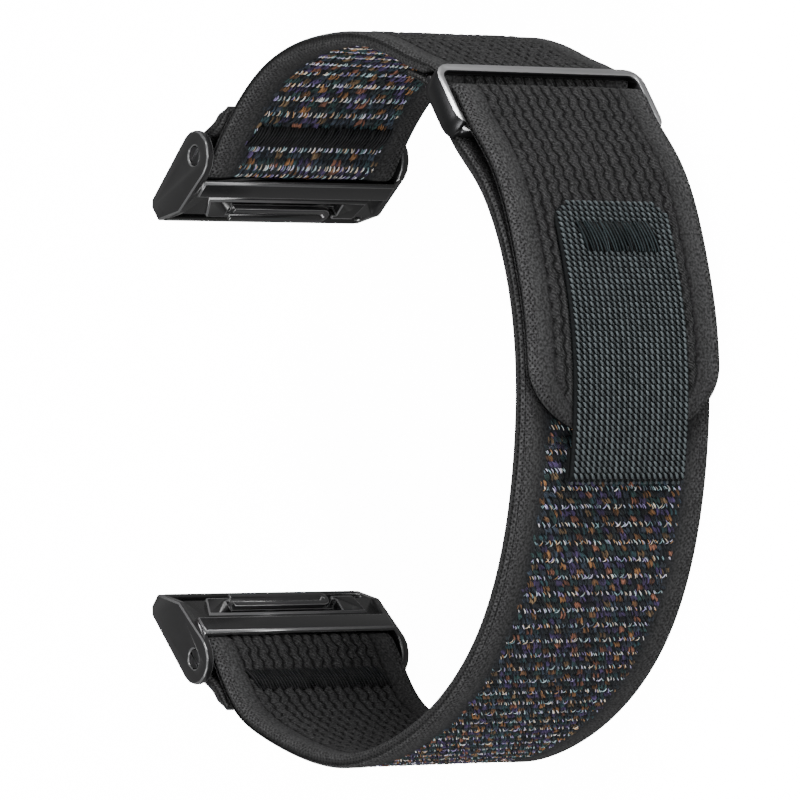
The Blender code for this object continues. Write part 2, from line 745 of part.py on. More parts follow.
def spring_piece(name, place, length, axis):
    # One open coil along p
    count = SPRING_TURNS * SPRING_STEPS
    curve = bpy.data.curves.new(name, "CURVE")
    curve.dimensions = "3D"
    curve.bevel_depth = SPRING_WIRE / 2
    curve.bevel_resolution = 1
    curve.use_fill_caps = True
    spline = curve.splines.new("POLY")
    spline.points.add(count)
    points = []
    for i, point in enumerate(spline.points):
        angle = 2 * math.pi * SPRING_TURNS * i / count
        along = SPRING_WIRE / 2 + (length - SPRING_WIRE) * i / count
        spread = SPRING_RADIUS - SPRING_WIRE / 2
        place_now = Vector((along, spread * math.cos(angle), spread * math.sin(angle)))
        points.append(place_now)
        point.co = (*place_now, 1)
    turn = SPRING_STEPS * 2 // 3
    least = min((a - b).length for i, a in enumerate(points) for b in points[i + turn:]) - SPRING_WIRE
    print(f"{name}: least gap between turns {least * 1000:.2f} mm")
    holder = bpy.data.objects.new(name, curve)
    bpy.context.scene.collection.objects.link(holder)
    mesh = bpy.data.meshes.new_from_object(holder.evaluated_get(bpy.context.evaluated_depsgraph_get()))
    bpy.data.objects.remove(holder)
    mesh.transform(Matrix.Translation(place))
    clean_mesh(mesh)
    return new_piece(name, mesh, "steel", axis)


def make_adapter(side, mirror):
    bar = adapter_frame(mirror)[0]
    axis = joint_axis(f"{side}_adapter_axis", bar, -direction(ADAPTER_TILT, mirror), flipped=mirror < 0)
    profile, hook = housing_profile()
    top = HOUSING_HEIGHT / 2
    plate = top + PLATE_RISE
    inner, outer = INNER_HALF_WIDTH, HALF_WIDTH
    reach = inner + RUNNING_GAP
    housing = outline_piece(f"{side}_adapter", profile, -reach, reach, "adapter", axis)

    # The raised plate is a trapezoid: its ends are cut down to the housing's top, on a slant
    groove = HOUSING_FRONT + RIB_LENGTH + RIB_GROOVE / 2
    mouth = hook - HOOK_RADIUS
    beyond = mouth + OVERRUN
    for end in (-1, 1):
        start = end * (outer - PLATE_INSET)
        slant = end * (outer - PLATE_INSET - PLATE_SLANT)
        corners = [(groove, start), (beyond, slant), (beyond, end * outer), (groove, end * outer)]
        cut(housing, plan_piece(f"{side}_plate_end_{end}", corners, top - SHALLOW, plate + OVERRUN, axis))
    for end in (-1, 1):
        low, high = sorted((end * inner, end * outer))
        cheek = outline_piece(f"{side}_cheek_{end}", cheek_profile(), low, high, None, axis)
        cut(housing, cheek, "UNION")

    # The latch's recess, narrower at its mouth, where the latch's ears stop
    floor = plate - RECESS_DEPTH
    half = LATCH_WIDTH / 2
    ear = half + SHOULDER
    recess_start = HOUSING_FRONT + RECESS_WALL
    shoulder_at = mouth - SHOULDER
    above = (floor, plate + OVERRUN)
    wide = (-ear - LATCH_GAP, ear + LATCH_GAP)
    narrow = (-half - LATCH_GAP, half + LATCH_GAP)
    cut(housing, block(f"{side}_recess", (recess_start, shoulder_at), above, wide, None, axis))
    mouth_span = (recess_start + RUNNING_GAP, mouth + OVERRUN)
    cut(housing, block(f"{side}_recess_mouth", mouth_span, (floor - SHALLOW, above[1]), narrow, None, axis))
    spring_at = floor - SPRING_RADIUS - LATCH_GAP
    pocket = SPRING_RADIUS + LATCH_GAP
    spring_start = HOUSING_FRONT + FRONT_WALL
    latch_back = recess_start + LATCH_GAP + LATCH_COVER
    foot_at = latch_back + 2 * SHALLOW
    spring_length = foot_at - spring_start - 2 * RUNNING_GAP
    pocket_span = (spring_start, latch_back + LATCH_FOOT + LATCH_GAP)
    for end in (-1, 1):
        z = end * LATCH_FOOT_SPACING / 2
        deep = (spring_at - pocket, floor + RUNNING_GAP)
        cut(housing, block(f"{side}_pocket_{end}", pocket_span, deep, (z - pocket, z + pocket), None, axis))

    # Screws through the cheeks hold the bar
    hole = SCREW_SHANK_RADIUS + RUNNING_GAP
    head_hole = SCREW_HEAD_RADIUS + RUNNING_GAP
    bar_end = inner - FOLD_GAP
    cut(housing, rod(f"{side}_screw_hole", hole, -outer - OVERRUN, outer + OVERRUN, None, axis))
    strap_bar = rod(f"{side}_strap_bar", BAR_RADIUS, -bar_end, bar_end, "steel", axis)
    for end, word in ((-1, "left"), (1, "right")):
        face = end * outer
        sunk = end * (outer - SCREW_SINK - SCREW_HEAD)
        low, high = sorted((sunk - end * RUNNING_GAP, face + end * OVERRUN))
        cut(housing, rod(f"{side}_head_hole_{end}", head_hole, low, high, None, axis))
        low, high = sorted((end * (bar_end - BAR_BORE_DEPTH), face))
        cut(strap_bar, rod(f"{side}_bar_bore_{end}", hole, low, high, None, axis))
        low, high = sorted((sunk, end * (outer - SCREW_SINK)))
        screw = rod(f"{side}_bar_screw_{word}", SCREW_HEAD_RADIUS, low, high, "steel", axis)
        low, high = sorted((end * (bar_end - BAR_BORE_DEPTH + RUNNING_GAP), sunk + end * SCREW_HEAD / 2))
        cut(screw, rod(f"{side}_shank_{end}", SCREW_SHANK_RADIUS, low, high, None, axis), "UNION")
        low, high = sorted((sunk + end * SCREW_HEAD / 2, face))
        length = SCREW_HEAD_RADIUS + OVERRUN
        slot = (-SCREW_SLOT / 2, SCREW_SLOT / 2)
        cut(screw, block(f"{side}_slot_{end}", (-length, length), slot, (low, high), None, axis))

    make_latch(side, mirror, axis, mouth, floor, shoulder_at, latch_back, spring_at)
    for end, word in ((-1, "left"), (1, "right")):
        place = (spring_start + RUNNING_GAP, spring_at, end * LATCH_FOOT_SPACING / 2)
        spring_piece(f"{side}_latch_spring_{word}", place, spring_length, axis)


def make_latch(side, mirror, axis, mouth, floor, shoulder_at, back, spring_at):
    # A slide with ears, two feet that the springs push, and a U-shaped rim to pull with a nail
    slide = bpy.data.objects.new(f"{side}_latch_axis", None)
    slide.parent = axis
    parts.objects.link(slide)
    low = floor + LATCH_GAP
    half = LATCH_WIDTH / 2
    ear_end = shoulder_at - LATCH_GAP
    nose = mouth + LATCH_COVER
    base_top = low + LATCH_BASE
    front = nose - LATCH_RIM / 2
    base_span = (back + SHALLOW, front)
    latch = block(f"{side}_latch", base_span, (low, base_top), (-half, half), "latch", slide)
    ear = half + SHOULDER
    ears = (low + SHALLOW, base_top - SHALLOW)
    cut(latch, block(f"{side}_latch_ears", (back, ear_end), ears, (-ear, ear), None, slide), "UNION")
    foot_span = (back + 2 * SHALLOW, back + LATCH_FOOT)
    foot_height = (spring_at - SPRING_RADIUS, low + LATCH_BASE / 2)
    foot = LATCH_FOOT_WIDTH / 2
    for end in (-1, 1):
        z = end * LATCH_FOOT_SPACING / 2
        feet = block(f"{side}_latch_foot_{end}", foot_span, foot_height, (z - foot, z + foot), None, slide)
        cut(latch, feet, "UNION")
    rim_low, rim_high = base_top - LATCH_BASE / 2, base_top + LATCH_RIM_RISE
    rim_start = nose - LATCH_RIM_LENGTH
    radius = LATCH_RIM_LENGTH / 2
    middle = rim_start + radius
    angles = np.linspace(-math.pi / 2, math.pi / 2, FOLD_POINTS)
    round_at = half - radius
    outer_arc = [(middle + radius * math.sin(a), round_at + radius * math.cos(a)) for a in angles]
    thin = radius - LATCH_RIM
    inner_arc = [(middle + thin * math.sin(a), round_at + thin * math.cos(a)) for a in angles[::-1]]
    tail = -half + SIDE_GAP
    outline = [(rim_start, tail)] + outer_arc + [(nose, tail), (nose - LATCH_RIM, tail)]
    outline += inner_arc + [(rim_start + LATCH_RIM, tail)]
    # The rim's round end is on the same side of both adapters, so it mirrors with them
    outline = [(p, -mirror * z) for p, z in outline]
    cut(latch, plan_piece(f"{side}_latch_rim", outline, rim_low, rim_high, slide), "UNION")


def stand_on_floor():
    # Puts the middle of the part's base at the origin
    bpy.context.view_layer.update()
    depsgraph = bpy.context.evaluated_depsgraph_get()
    corners = []
    for piece in parts.objects:
        if piece.type == "MESH":
            evaluated = piece.evaluated_get(depsgraph)
            corners += [evaluated.matrix_world @ Vector(corner) for corner in evaluated.bound_box]
    low = Vector([min(c[i] for c in corners) for i in range(3)])
    high = Vector([max(c[i] for c in corners) for i in range(3)])
    base.location = (-(low.x + high.x) / 2, -(low.y + high.y) / 2, -low.z)
    bpy.context.view_layer.update()


for old in list(bpy.data.objects):
    bpy.data.objects.remove(old, do_unlink=True)
parts = new_collection("nylon_watch_strap")
cutters = new_collection("cutters")
base = bpy.data.objects.new("strap_base", None)
parts.objects.link(base)
axis_frames = {base.name: Matrix.Identity(4)}

upper = upper_line()
lower = lower_line()
make_upper_strap(upper)
make_lower_strap(lower)
tail_start, tail_hinge = make_tail(lower)
make_tab(lower, tail_start, tail_hinge)
make_tacks(upper, lower)
make_ring()
make_adapter("upper", 1)
make_adapter("lower", -1)
stand_on_floor()
for piece in parts.objects:
    if piece.type == "EMPTY":
        place = piece.matrix_world.translation * 1000
        print(f"{piece.name}: {place.x:.3f}, {place.y:.3f}, {place.z:.3f} mm")
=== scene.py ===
import math

import bmesh
import bpy
import numpy as np
from mathutils import Matrix, Vector


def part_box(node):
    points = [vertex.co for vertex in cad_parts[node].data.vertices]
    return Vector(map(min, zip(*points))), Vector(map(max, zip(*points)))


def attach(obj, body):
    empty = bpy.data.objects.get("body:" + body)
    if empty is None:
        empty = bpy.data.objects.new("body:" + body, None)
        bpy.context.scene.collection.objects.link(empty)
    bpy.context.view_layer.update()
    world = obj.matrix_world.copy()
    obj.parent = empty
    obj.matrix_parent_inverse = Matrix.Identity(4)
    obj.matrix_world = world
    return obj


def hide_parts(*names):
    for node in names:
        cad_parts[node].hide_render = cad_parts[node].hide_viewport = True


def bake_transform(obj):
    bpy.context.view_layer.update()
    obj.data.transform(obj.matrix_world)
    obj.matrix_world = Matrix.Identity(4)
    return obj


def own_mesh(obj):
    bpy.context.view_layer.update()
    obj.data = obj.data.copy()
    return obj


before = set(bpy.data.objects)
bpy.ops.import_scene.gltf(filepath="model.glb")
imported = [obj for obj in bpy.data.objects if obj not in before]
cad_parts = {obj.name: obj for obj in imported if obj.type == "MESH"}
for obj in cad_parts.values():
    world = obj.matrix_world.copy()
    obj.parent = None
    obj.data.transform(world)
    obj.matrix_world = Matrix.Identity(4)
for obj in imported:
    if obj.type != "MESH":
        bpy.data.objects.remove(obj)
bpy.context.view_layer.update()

scene = bpy.context.scene


def boxMiddle(node):
    low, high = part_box(node)
    return (low + high) / 2


def linkPiece(name, mesh, material, body=None):
    piece = bpy.data.objects.new(name, mesh)
    scene.collection.objects.link(piece)
    if material:
        mesh.materials.clear()
        mesh.materials.append(material)
    if body:
        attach(piece, body)
    return piece


# Camera, at the photograph's angle: the strap lies on its edge and its upper length points up

view = {
    "lens": 310.3,  # mm
    "distance": 0.80,  # m
    "clip": (0.01, 10),  # m
    "elevation": math.radians(34),
    "target": (0.0, 0.00758, 0.01392),
}


def makeCamera():
    tilt = view["elevation"]
    back = Vector((0, -math.cos(tilt), math.sin(tilt)))
    up = Vector((1, 0, 0))
    right = up.cross(back)
    data = bpy.data.cameras.new("camera")
    data.lens = view["lens"]
    data.clip_start, data.clip_end = view["clip"]
    camera = bpy.data.objects.new("camera", data)
    turn = Matrix((right, up, back)).transposed().to_4x4()
    camera.matrix_world = Matrix.Translation(Vector(view["target"]) + back * view["distance"]) @ turn
    scene.collection.objects.link(camera)
    scene.camera = camera


makeCamera()
print("camera set")


# Lines in the strap's plane, from the same sizes as the solids

loop = {
    "halfHeight": 0.0410, "depth": 0.0644, "fineStep": 0.0004, "foldSteps": 18,
    "upperShares": [
        (0.863, 0.140), (0.927, 0.202), (0.976, 0.289), (1.002, 0.437),
        (1.000, 0.490), (0.965, 0.597), (0.925, 0.672),
    ],
    "lowerShares": [
        (-0.883, 0.112), (-0.941, 0.193), (-0.984, 0.295), (-1.010, 0.450), (-0.960, 0.600),
        (-0.856, 0.738), (-0.649, 0.881), (-0.449, 0.949), (-0.161, 0.993), (0.073, 1.000),
        (0.304, 0.977), (0.451, 0.941), (0.594, 0.880),
    ],
    "spanShare": 0.7207, "middleShift": 0.00105, "leaving": math.radians(37),
    "adapterReturn": 0.0074, "adapterClosing": 0.0050,
    "returnTaper": 0.0022, "returnThin": 0.35,
    "barRadius": 0.0009, "foldGap": 0.0002, "plyGap": 0.00035,
}
cloth = {
    "width": 0.0260, "thickness": 0.0016, "edgeRound": 0.00062, "mostRound": 0.9,
    "step": 0.00028, "ribColumns": 142, "knitColumns": 14, "edgeSteps": 4,
    "border": 0.0033, "borderSoft": 0.00035, "edgeBand": 0.0011, "edgeSoft": 0.0003,
    "sideShift": 0.05, "flatFace": 0.999,
    "ribs": 14, "ribHeight": 0.00044, "ribSink": 0.00031, "knitSink": 0.00026, "ridgePower": 0.6,
    "waveLength": 0.00178, "waveSwing": 0.00015, "lobeTurn": 5.2, "lobeDepth": 0.10,
    "borderCrown": 0.00002, "seamDepth": 0.00010, "seamWidth": 0.00028,
    "shakeScale": 650.0, "shake": 0.0008,
}
ringPlan = {
    "topShares": (0.913, 0.770), "tilt": math.radians(52), "bar": 0.0011, "opening": 0.0068,
    "topDepth": 0.0008, "lowerDepth": 0.0011, "lowerSetBack": 0.0011, "loopGap": 0.0004,
    "noseSpace": 0.00125, "pinRadius": 0.00045, "tongue": 0.0006, "tongueTaper": 0.0018,
    "approachTilt": math.radians(24), "approachLength": 0.0030, "return": 0.0055, "tailClosing": 0.0200,
}
halfPly = cloth["thickness"] / 2
ribPitch = 2 * (cloth["width"] / 2 - cloth["border"]) / cloth["ribs"]
barFold = loop["barRadius"] + loop["foldGap"] + halfPly
plyPitch = cloth["thickness"] + loop["plyGap"]
noseFold = ringPlan["lowerDepth"] / 2 + ringPlan["loopGap"] + halfPly
noseU = ringPlan["bar"] + ringPlan["noseSpace"] + noseFold + halfPly
ringHeight = ringPlan["opening"] + 2 * ringPlan["bar"]
lowerBarN = ringPlan["lowerSetBack"] + ringPlan["lowerDepth"] / 2
wrapInner = ringPlan["pinRadius"] + loop["foldGap"]
wrapOuter = wrapInner + ringPlan["tongue"]
pinN = ringPlan["topDepth"] + loop["foldGap"] + wrapOuter

barMiddle = boxMiddle("upper_strap_bar")
origin = np.array((barMiddle.x - loop["spanShare"] * loop["halfHeight"] + loop["middleShift"], barMiddle.y))
midZ = barMiddle.z


def splineLine(points):
    points = np.array(points)
    spans = np.hypot(*np.diff(points, axis=0).T)
    knots = np.concatenate(([0], np.cumsum(spans)))
    count = len(points)
    system, right = np.zeros((count, count)), np.zeros((count, 2))
    system[0, 0] = system[-1, -1] = 1
    for i in range(1, count - 1):
        system[i, i - 1:i + 2] = spans[i - 1], 2 * (spans[i - 1] + spans[i]), spans[i]
        right[i] = 6 * ((points[i + 1] - points[i]) / spans[i] - (points[i] - points[i - 1]) / spans[i - 1])
    bends = np.linalg.solve(system, right)
    places = np.linspace(0, knots[-1], round(knots[-1] / loop["fineStep"]))
    index = np.clip(np.searchsorted(knots, places, "right") - 1, 0, count - 2)
    span, after = spans[index][:, None], (places - knots[index])[:, None]
    before = span - after
    return (
        bends[index] * before**3 / (6 * span) + bends[index + 1] * after**3 / (6 * span)
        + (points[index] / span - bends[index] * span / 6) * before
        + (points[index + 1] / span - bends[index + 1] * span / 6) * after
    )


def loopLine(points, side):
    line = splineLine(points)
    distance = np.concatenate(([0], np.cumsum(np.hypot(*np.diff(line, axis=0).T))))
    tangent = np.gradient(line, distance, axis=0)
    tangent /= np.hypot(*tangent.T)[:, None]
    normal = side * np.stack((-tangent[:, 1], tangent[:, 0]), axis=1)
    return {"points": line, "normals": normal, "distance": distance, "length": distance[-1]}


def readLine(line, key, distances):
    return np.stack([np.interp(distances, line["distance"], line[key][:, i]) for i in (0, 1)], axis=1)


def beside(line, distances, offset):
    offsets = offset(distances) if callable(offset) else np.full(len(distances), float(offset))
    return readLine(line, "points", distances) + readLine(line, "normals", distances) * offsets[:, None]


def ease(share):
    share = np.clip(share, 0, 1)
    return share * share * (3 - 2 * share)


def closing(wide, close, length):
    return lambda distances: close + (wide - close) * (1 - ease(distances / length))


def shifted(offset, shift):
    return lambda distances: offset(distances) + shift


def ply(line, start, end, left, right):
    # Both faces of a stretch of webbing beside a line
    distances = np.linspace(start, end, max(2, round(abs(end - start) / loop["fineStep"]) + 1))
    return beside(line, distances, left), beside(line, distances, right)


def fold(centre, leftRadius, rightRadius, first, through):
    angles = np.linspace(0, math.pi, loop["foldSteps"])[1:-1]
    ways = np.outer(np.cos(angles), first) + np.outer(np.sin(angles), through)
    return centre + leftRadius * ways, centre + rightRadius * ways


def stationsOf(stretches, step):
    # Even stations along the webbing's middle, with the way to its left face and half its thickness
    left = np.concatenate([stretch[0] for stretch in stretches]) + origin
    right = np.concatenate([stretch[1] for stretch in stretches]) + origin
    middle = (left + right) / 2
    run = np.concatenate(([0], np.cumsum(np.hypot(*np.diff(middle, axis=0).T))))
    ends = np.cumsum([len(stretch[0]) for stretch in stretches]) - 1
    along = np.linspace(0, run[-1], round(run[-1] / step) + 1)

    def even(values):
        return np.stack([np.interp(along, run, values[:, i]) for i in range(values.shape[1])], axis=1)

    across = even(left - right)
    thick = np.hypot(*across.T)
    return {
        "centre": even(middle), "normal": across / thick[:, None], "half": thick / 2,
        "along": along, "ends": run[ends],
    }


def adapterFrame(mirror):
    angle = loop["leaving"]
    bar = np.array((mirror * loop["spanShare"] * loop["halfHeight"] - loop["middleShift"], 0))
    leaving = np.array((mirror * math.cos(angle), -math.sin(angle)))
    wrist = np.array((-mirror * math.sin(angle), -math.cos(angle)))
    return bar, leaving, wrist


ringAlong = np.array((-math.sin(ringPlan["tilt"]), -math.cos(ringPlan["tilt"])))
ringOut = np.array((math.cos(ringPlan["tilt"]), -math.sin(ringPlan["tilt"])))
heightShare, depthShare = ringPlan["topShares"]
ringTop = np.array((heightShare * loop["halfHeight"], -depthShare * loop["depth"]))
approach = np.array((-math.sin(ringPlan["approachTilt"]), -math.cos(ringPlan["approachTilt"])))
approachOut = np.array((math.cos(ringPlan["approachTilt"]), -math.sin(ringPlan["approachTilt"])))


def onRing(u, n):
    return ringTop + u * ringAlong - n * ringOut


pinPlace = onRing(ringPlan["bar"] / 2, pinN)
nosePlace = onRing(noseU, lowerBarN)
lowerBarPlace = onRing(ringHeight - ringPlan["bar"] / 2, lowerBarN)


def loopPoints(key):
    return [(x * loop["halfHeight"], -depth * loop["depth"]) for x, depth in loop[key]]


def upperLoopLine():
    bar, leaving, wrist = adapterFrame(1)
    start = bar + wrist * barFold
    end = pinPlace + approachOut * (wrapOuter - halfPly)
    points = [start, start + leaving * barFold] + loopPoints("upperShares")
    return loopLine(points + [end - approach * ringPlan["approachLength"], end], 1)


def lowerLoopLine():
    bar, leaving, wrist = adapterFrame(-1)
    start = bar + wrist * barFold
    points = [start, start + leaving * barFold] + loopPoints("lowerShares")
    return loopLine(points + [lowerBarPlace - ringOut * noseFold, nosePlace - ringOut * noseFold], -1)


def adapterFold(line, mirror):
    bar, leaving, wrist = adapterFrame(mirror)
    apart = closing(2 * barFold, plyPitch, loop["adapterClosing"])
    end, taper, thin = loop["adapterReturn"], loop["returnTaper"], loop["returnThin"]

    def outerSide(distances):
        # The return's cut end is pressed thin
        share = thin + (1 - thin) * ease((end - distances) / taper)
        return apart(distances) - halfPly + cloth["thickness"] * share

    back = ply(line, end, 0, outerSide, shifted(apart, -halfPly))
    return [back, fold(bar, barFold + halfPly, barFold - halfPly, -wrist, -leaving)]


upperLine, lowerLine = upperLoopLine(), lowerLoopLine()
print("lines laid")


# Nodes

def addNode(tree, kind, inputs, **settings):
    # A new node with its settings. Each input takes a value or another node's output
    node = tree.nodes.new(kind)
    for name, value in settings.items():
        setattr(node, name, value)
    for key, value in inputs.items():
        if isinstance(value, bpy.types.NodeSocket):
            tree.links.new(value, node.inputs[key])
        else:
            node.inputs[key].default_value = value
    return node


def mathNode(tree, operation, *values):
    return addNode(tree, "ShaderNodeMath", dict(enumerate(values)), operation=operation).outputs[0]


def plus(tree, first, second):
    return mathNode(tree, "ADD", first, second)


def minus(tree, first, second):
    return mathNode(tree, "SUBTRACT", first, second)


def times(tree, first, second):
    return mathNode(tree, "MULTIPLY", first, second)


def waves(tree, value, pitch):
    return mathNode(tree, "SINE", times(tree, mathNode(tree, "DIVIDE", value, pitch), 2 * math.pi))


def rangeNode(tree, value, low, high, toLow=0.0, toHigh=1.0):
    inputs = {"Value": value, "From Min": low, "From Max": high, "To Min": toLow, "To Max": toHigh}
    return addNode(tree, "ShaderNodeMapRange", inputs, interpolation_type="SMOOTHSTEP").outputs[0]


def mixColour(tree, share, first, second, blend="MIX"):
    first, second = ((*value, 1.0) if isinstance(value, tuple) else value for value in (first, second))
    inputs = {0: share, 6: first, 7: second}
    return addNode(tree, "ShaderNodeMix", inputs, data_type="RGBA", blend_type=blend).outputs[2]


def attributeNode(tree, name, output="Fac"):
    return addNode(tree, "ShaderNodeAttribute", {}, attribute_name=name).outputs[output]


def noiseNode(tree, vector, scale, detail):
    inputs = {"Vector": vector, "Scale": scale, "Detail": detail}
    return addNode(tree, "ShaderNodeTexNoise", inputs).outputs[0]


def placeNode(tree, x=None, y=None, z=None):
    inputs = {slot: value for slot, value in enumerate((x, y, z)) if value is not None}
    return addNode(tree, "ShaderNodeCombineXYZ", inputs).outputs[0]


def objectPlace(tree):
    return tree.nodes.new("ShaderNodeTexCoord").outputs["Object"]


def shakeNodes(tree, place, scale, amount):
    # An uneven sideways shift, the same in the cloth's material and in its mesh
    return times(tree, minus(tree, noiseNode(tree, place, scale, 1), 0.5), amount)


socketKinds = {
    float: "NodeSocketFloat", int: "NodeSocketInt", tuple: "NodeSocketVector",
    type(None): "NodeSocketMaterial",
}


def newSockets(tree, inputs):
    for name, value in inputs.items():
        socket = tree.interface.new_socket(name, in_out="INPUT", socket_type=socketKinds[type(value)])
        if value is not None:
            socket.default_value = value


# Shader groups

grainPlan = {
    "holeSpan": (0.30, 0.85), "fibreShake": 1.5, "fineDetail": 3, "broadDetail": 2,
    "brushDetail": 2, "scuffDetail": 4, "scuffSpan": (0.52, 0.72),
}


def newGroup(name, inputs, outputs):
    tree = bpy.data.node_groups.new(name, "ShaderNodeTree")
    newSockets(tree, inputs)
    for output in outputs:
        tree.interface.new_socket(output, in_out="OUTPUT", socket_type="NodeSocketFloat")
    return tree, tree.nodes.new("NodeGroupInput").outputs, tree.nodes.new("NodeGroupOutput")


def makeStitchDots():
    # Rows of tiny knit holes, staggered, a little uneven
    tree, sizes, outside = newGroup("stitchDots", {
        "Along": 0.0, "Around": 0.0, "Pitch": 0.0006, "Row Pitch": 0.0006,
        "Shake Scale": 900.0, "Shake": 0.0002,
    }, ["Holes"])
    place = placeNode(tree, sizes["Along"], sizes["Around"])
    shake = shakeNodes(tree, place, sizes["Shake Scale"], sizes["Shake"])
    along = waves(tree, plus(tree, sizes["Along"], shake), sizes["Pitch"])
    around = waves(tree, plus(tree, sizes["Around"], shake), sizes["Row Pitch"])
    holes = rangeNode(tree, times(tree, along, around), *grainPlan["holeSpan"])
    tree.links.new(holes, outside.inputs["Holes"])
    return tree


def makeCords():
    # The ribs' crests and valleys again, sharper than the mesh, with slanting fibres on them
    tree, sizes, outside = newGroup("cordRibs", {
        "Along": 0.0, "Around": 0.0, "Pitch": 0.0014, "Wave Length": 0.0018, "Wave Swing": 0.0002,
        "Fibre Pitch": 0.0004, "Fibre Slant": 1.2, "Shake Scale": 650.0, "Shake": 0.0008,
    }, ["Crest", "Fibres"])
    place = placeNode(tree, sizes["Along"], sizes["Around"])
    shake = shakeNodes(tree, place, sizes["Shake Scale"], sizes["Shake"])
    swing = times(tree, waves(tree, sizes["Along"], sizes["Wave Length"]), sizes["Wave Swing"])
    lane = plus(tree, plus(tree, sizes["Around"], swing), shake)
    crest = mathNode(tree, "ABSOLUTE", waves(tree, lane, times(tree, sizes["Pitch"], 2)))
    slanted = plus(tree, times(tree, sizes["Around"], sizes["Fibre Slant"]), sizes["Along"])
    slanted = plus(tree, slanted, times(tree, shake, grainPlan["fibreShake"]))
    fibres = mathNode(tree, "MULTIPLY_ADD", waves(tree, slanted, sizes["Fibre Pitch"]), 0.5, 0.5)
    tree.links.new(crest, outside.inputs["Crest"])
    tree.links.new(fibres, outside.inputs["Fibres"])
    return tree


def makeFelt():
    # Fine fibre variation on cloth
    tree, sizes, outside = newGroup("feltGrain", {
        "Vector": (0, 0, 0), "Fine": 3400.0, "Broad": 420.0,
    }, ["Grain", "Patches"])
    fine = noiseNode(tree, sizes["Vector"], sizes["Fine"], grainPlan["fineDetail"])
    broad = noiseNode(tree, sizes["Vector"], sizes["Broad"], grainPlan["broadDetail"])
    tree.links.new(fine, outside.inputs["Grain"])
    tree.links.new(broad, outside.inputs["Patches"])
    return tree


def makeBrushed():
    # Fine brushed grain and faint scuffs on metal
    tree, sizes, outside = newGroup("brushedGrain", {
        "Vector": (0, 0, 0), "Stretch": (900.0, 900.0, 900.0), "Scuffs": 300.0,
    }, ["Grain", "Scuff"])
    inputs = {0: sizes["Vector"], 1: sizes["Stretch"]}
    stretched = addNode(tree, "ShaderNodeVectorMath", inputs, operation="MULTIPLY").outputs[0]
    grain = noiseNode(tree, stretched, 1.0, grainPlan["brushDetail"])
    scuff = noiseNode(tree, sizes["Vector"], sizes["Scuffs"], grainPlan["scuffDetail"])
    tree.links.new(grain, outside.inputs["Grain"])
    tree.links.new(rangeNode(tree, scuff, *grainPlan["scuffSpan"]), outside.inputs["Scuff"])
    return tree


stitchDots, cordRibs, feltGrain, brushedGrain = makeStitchDots(), makeCords(), makeFelt(), makeBrushed()


def groupNode(tree, group, values):
    return addNode(tree, "ShaderNodeGroup", values, node_tree=group).outputs


def newMaterial(name, roughness, metallic=0.0, **sockets):
    material = bpy.data.materials.new(name)
    material.use_nodes = True
    tree = material.node_tree
    shader = tree.nodes["Principled BSDF"]
    shader.inputs["Roughness"].default_value = roughness
    shader.inputs["Metallic"].default_value = metallic
    for socket, value in sockets.items():
        shader.inputs[socket.replace("_", " ")].default_value = value
    return material, tree, shader


def bumpNormal(tree, shader, height, distance):
    bump = addNode(tree, "ShaderNodeBump", {"Height": height, "Distance": distance})
    tree.links.new(bump.outputs[0], shader.inputs["Normal"])


def toneColour(tree, grain, span, tones, colour):
    # A colour made paler and darker by a grain
    tone = rangeNode(tree, grain, *span, *tones)
    return mixColour(tree, 1.0, colour, placeNode(tree, tone, tone, tone), "MULTIPLY")


# Webbing cloth: plain borders, wavy ribs on one face, dark knit under the coloured loops on the other

clothLook = {
    "border": (0.0104, 0.0104, 0.0106), "borderEdgeSheen": (0.0195, 0.0195, 0.0198),
    "rib": (0.0150, 0.0150, 0.0152), "valleyShade": (0.0012, 0.0012, 0.0013),
    "hole": (0.0015, 0.0015, 0.0015), "knit": (0.0030, 0.0038, 0.0050),
    "dotPitch": 0.00062, "dotRow": 0.00060, "holeShade": 0.9, "holeDepth": 1.6,
    "valleySpan": (0.12, 0.62), "fibrePitch": 0.00042, "fibreSlant": 0.9, "fibreShade": 0.60,
    "seamShade": 0.35, "fineShare": 0.88, "broadShare": 0.12,
    "grainSpan": (0.32, 0.68), "tones": (0.25, 1.75),
    "crestSpan": (0.0, 0.5), "crestHeight": 1.4, "fibreDepth": -0.6, "bump": 0.00012,
    "roughness": 0.92, "shine": 0.15,
}


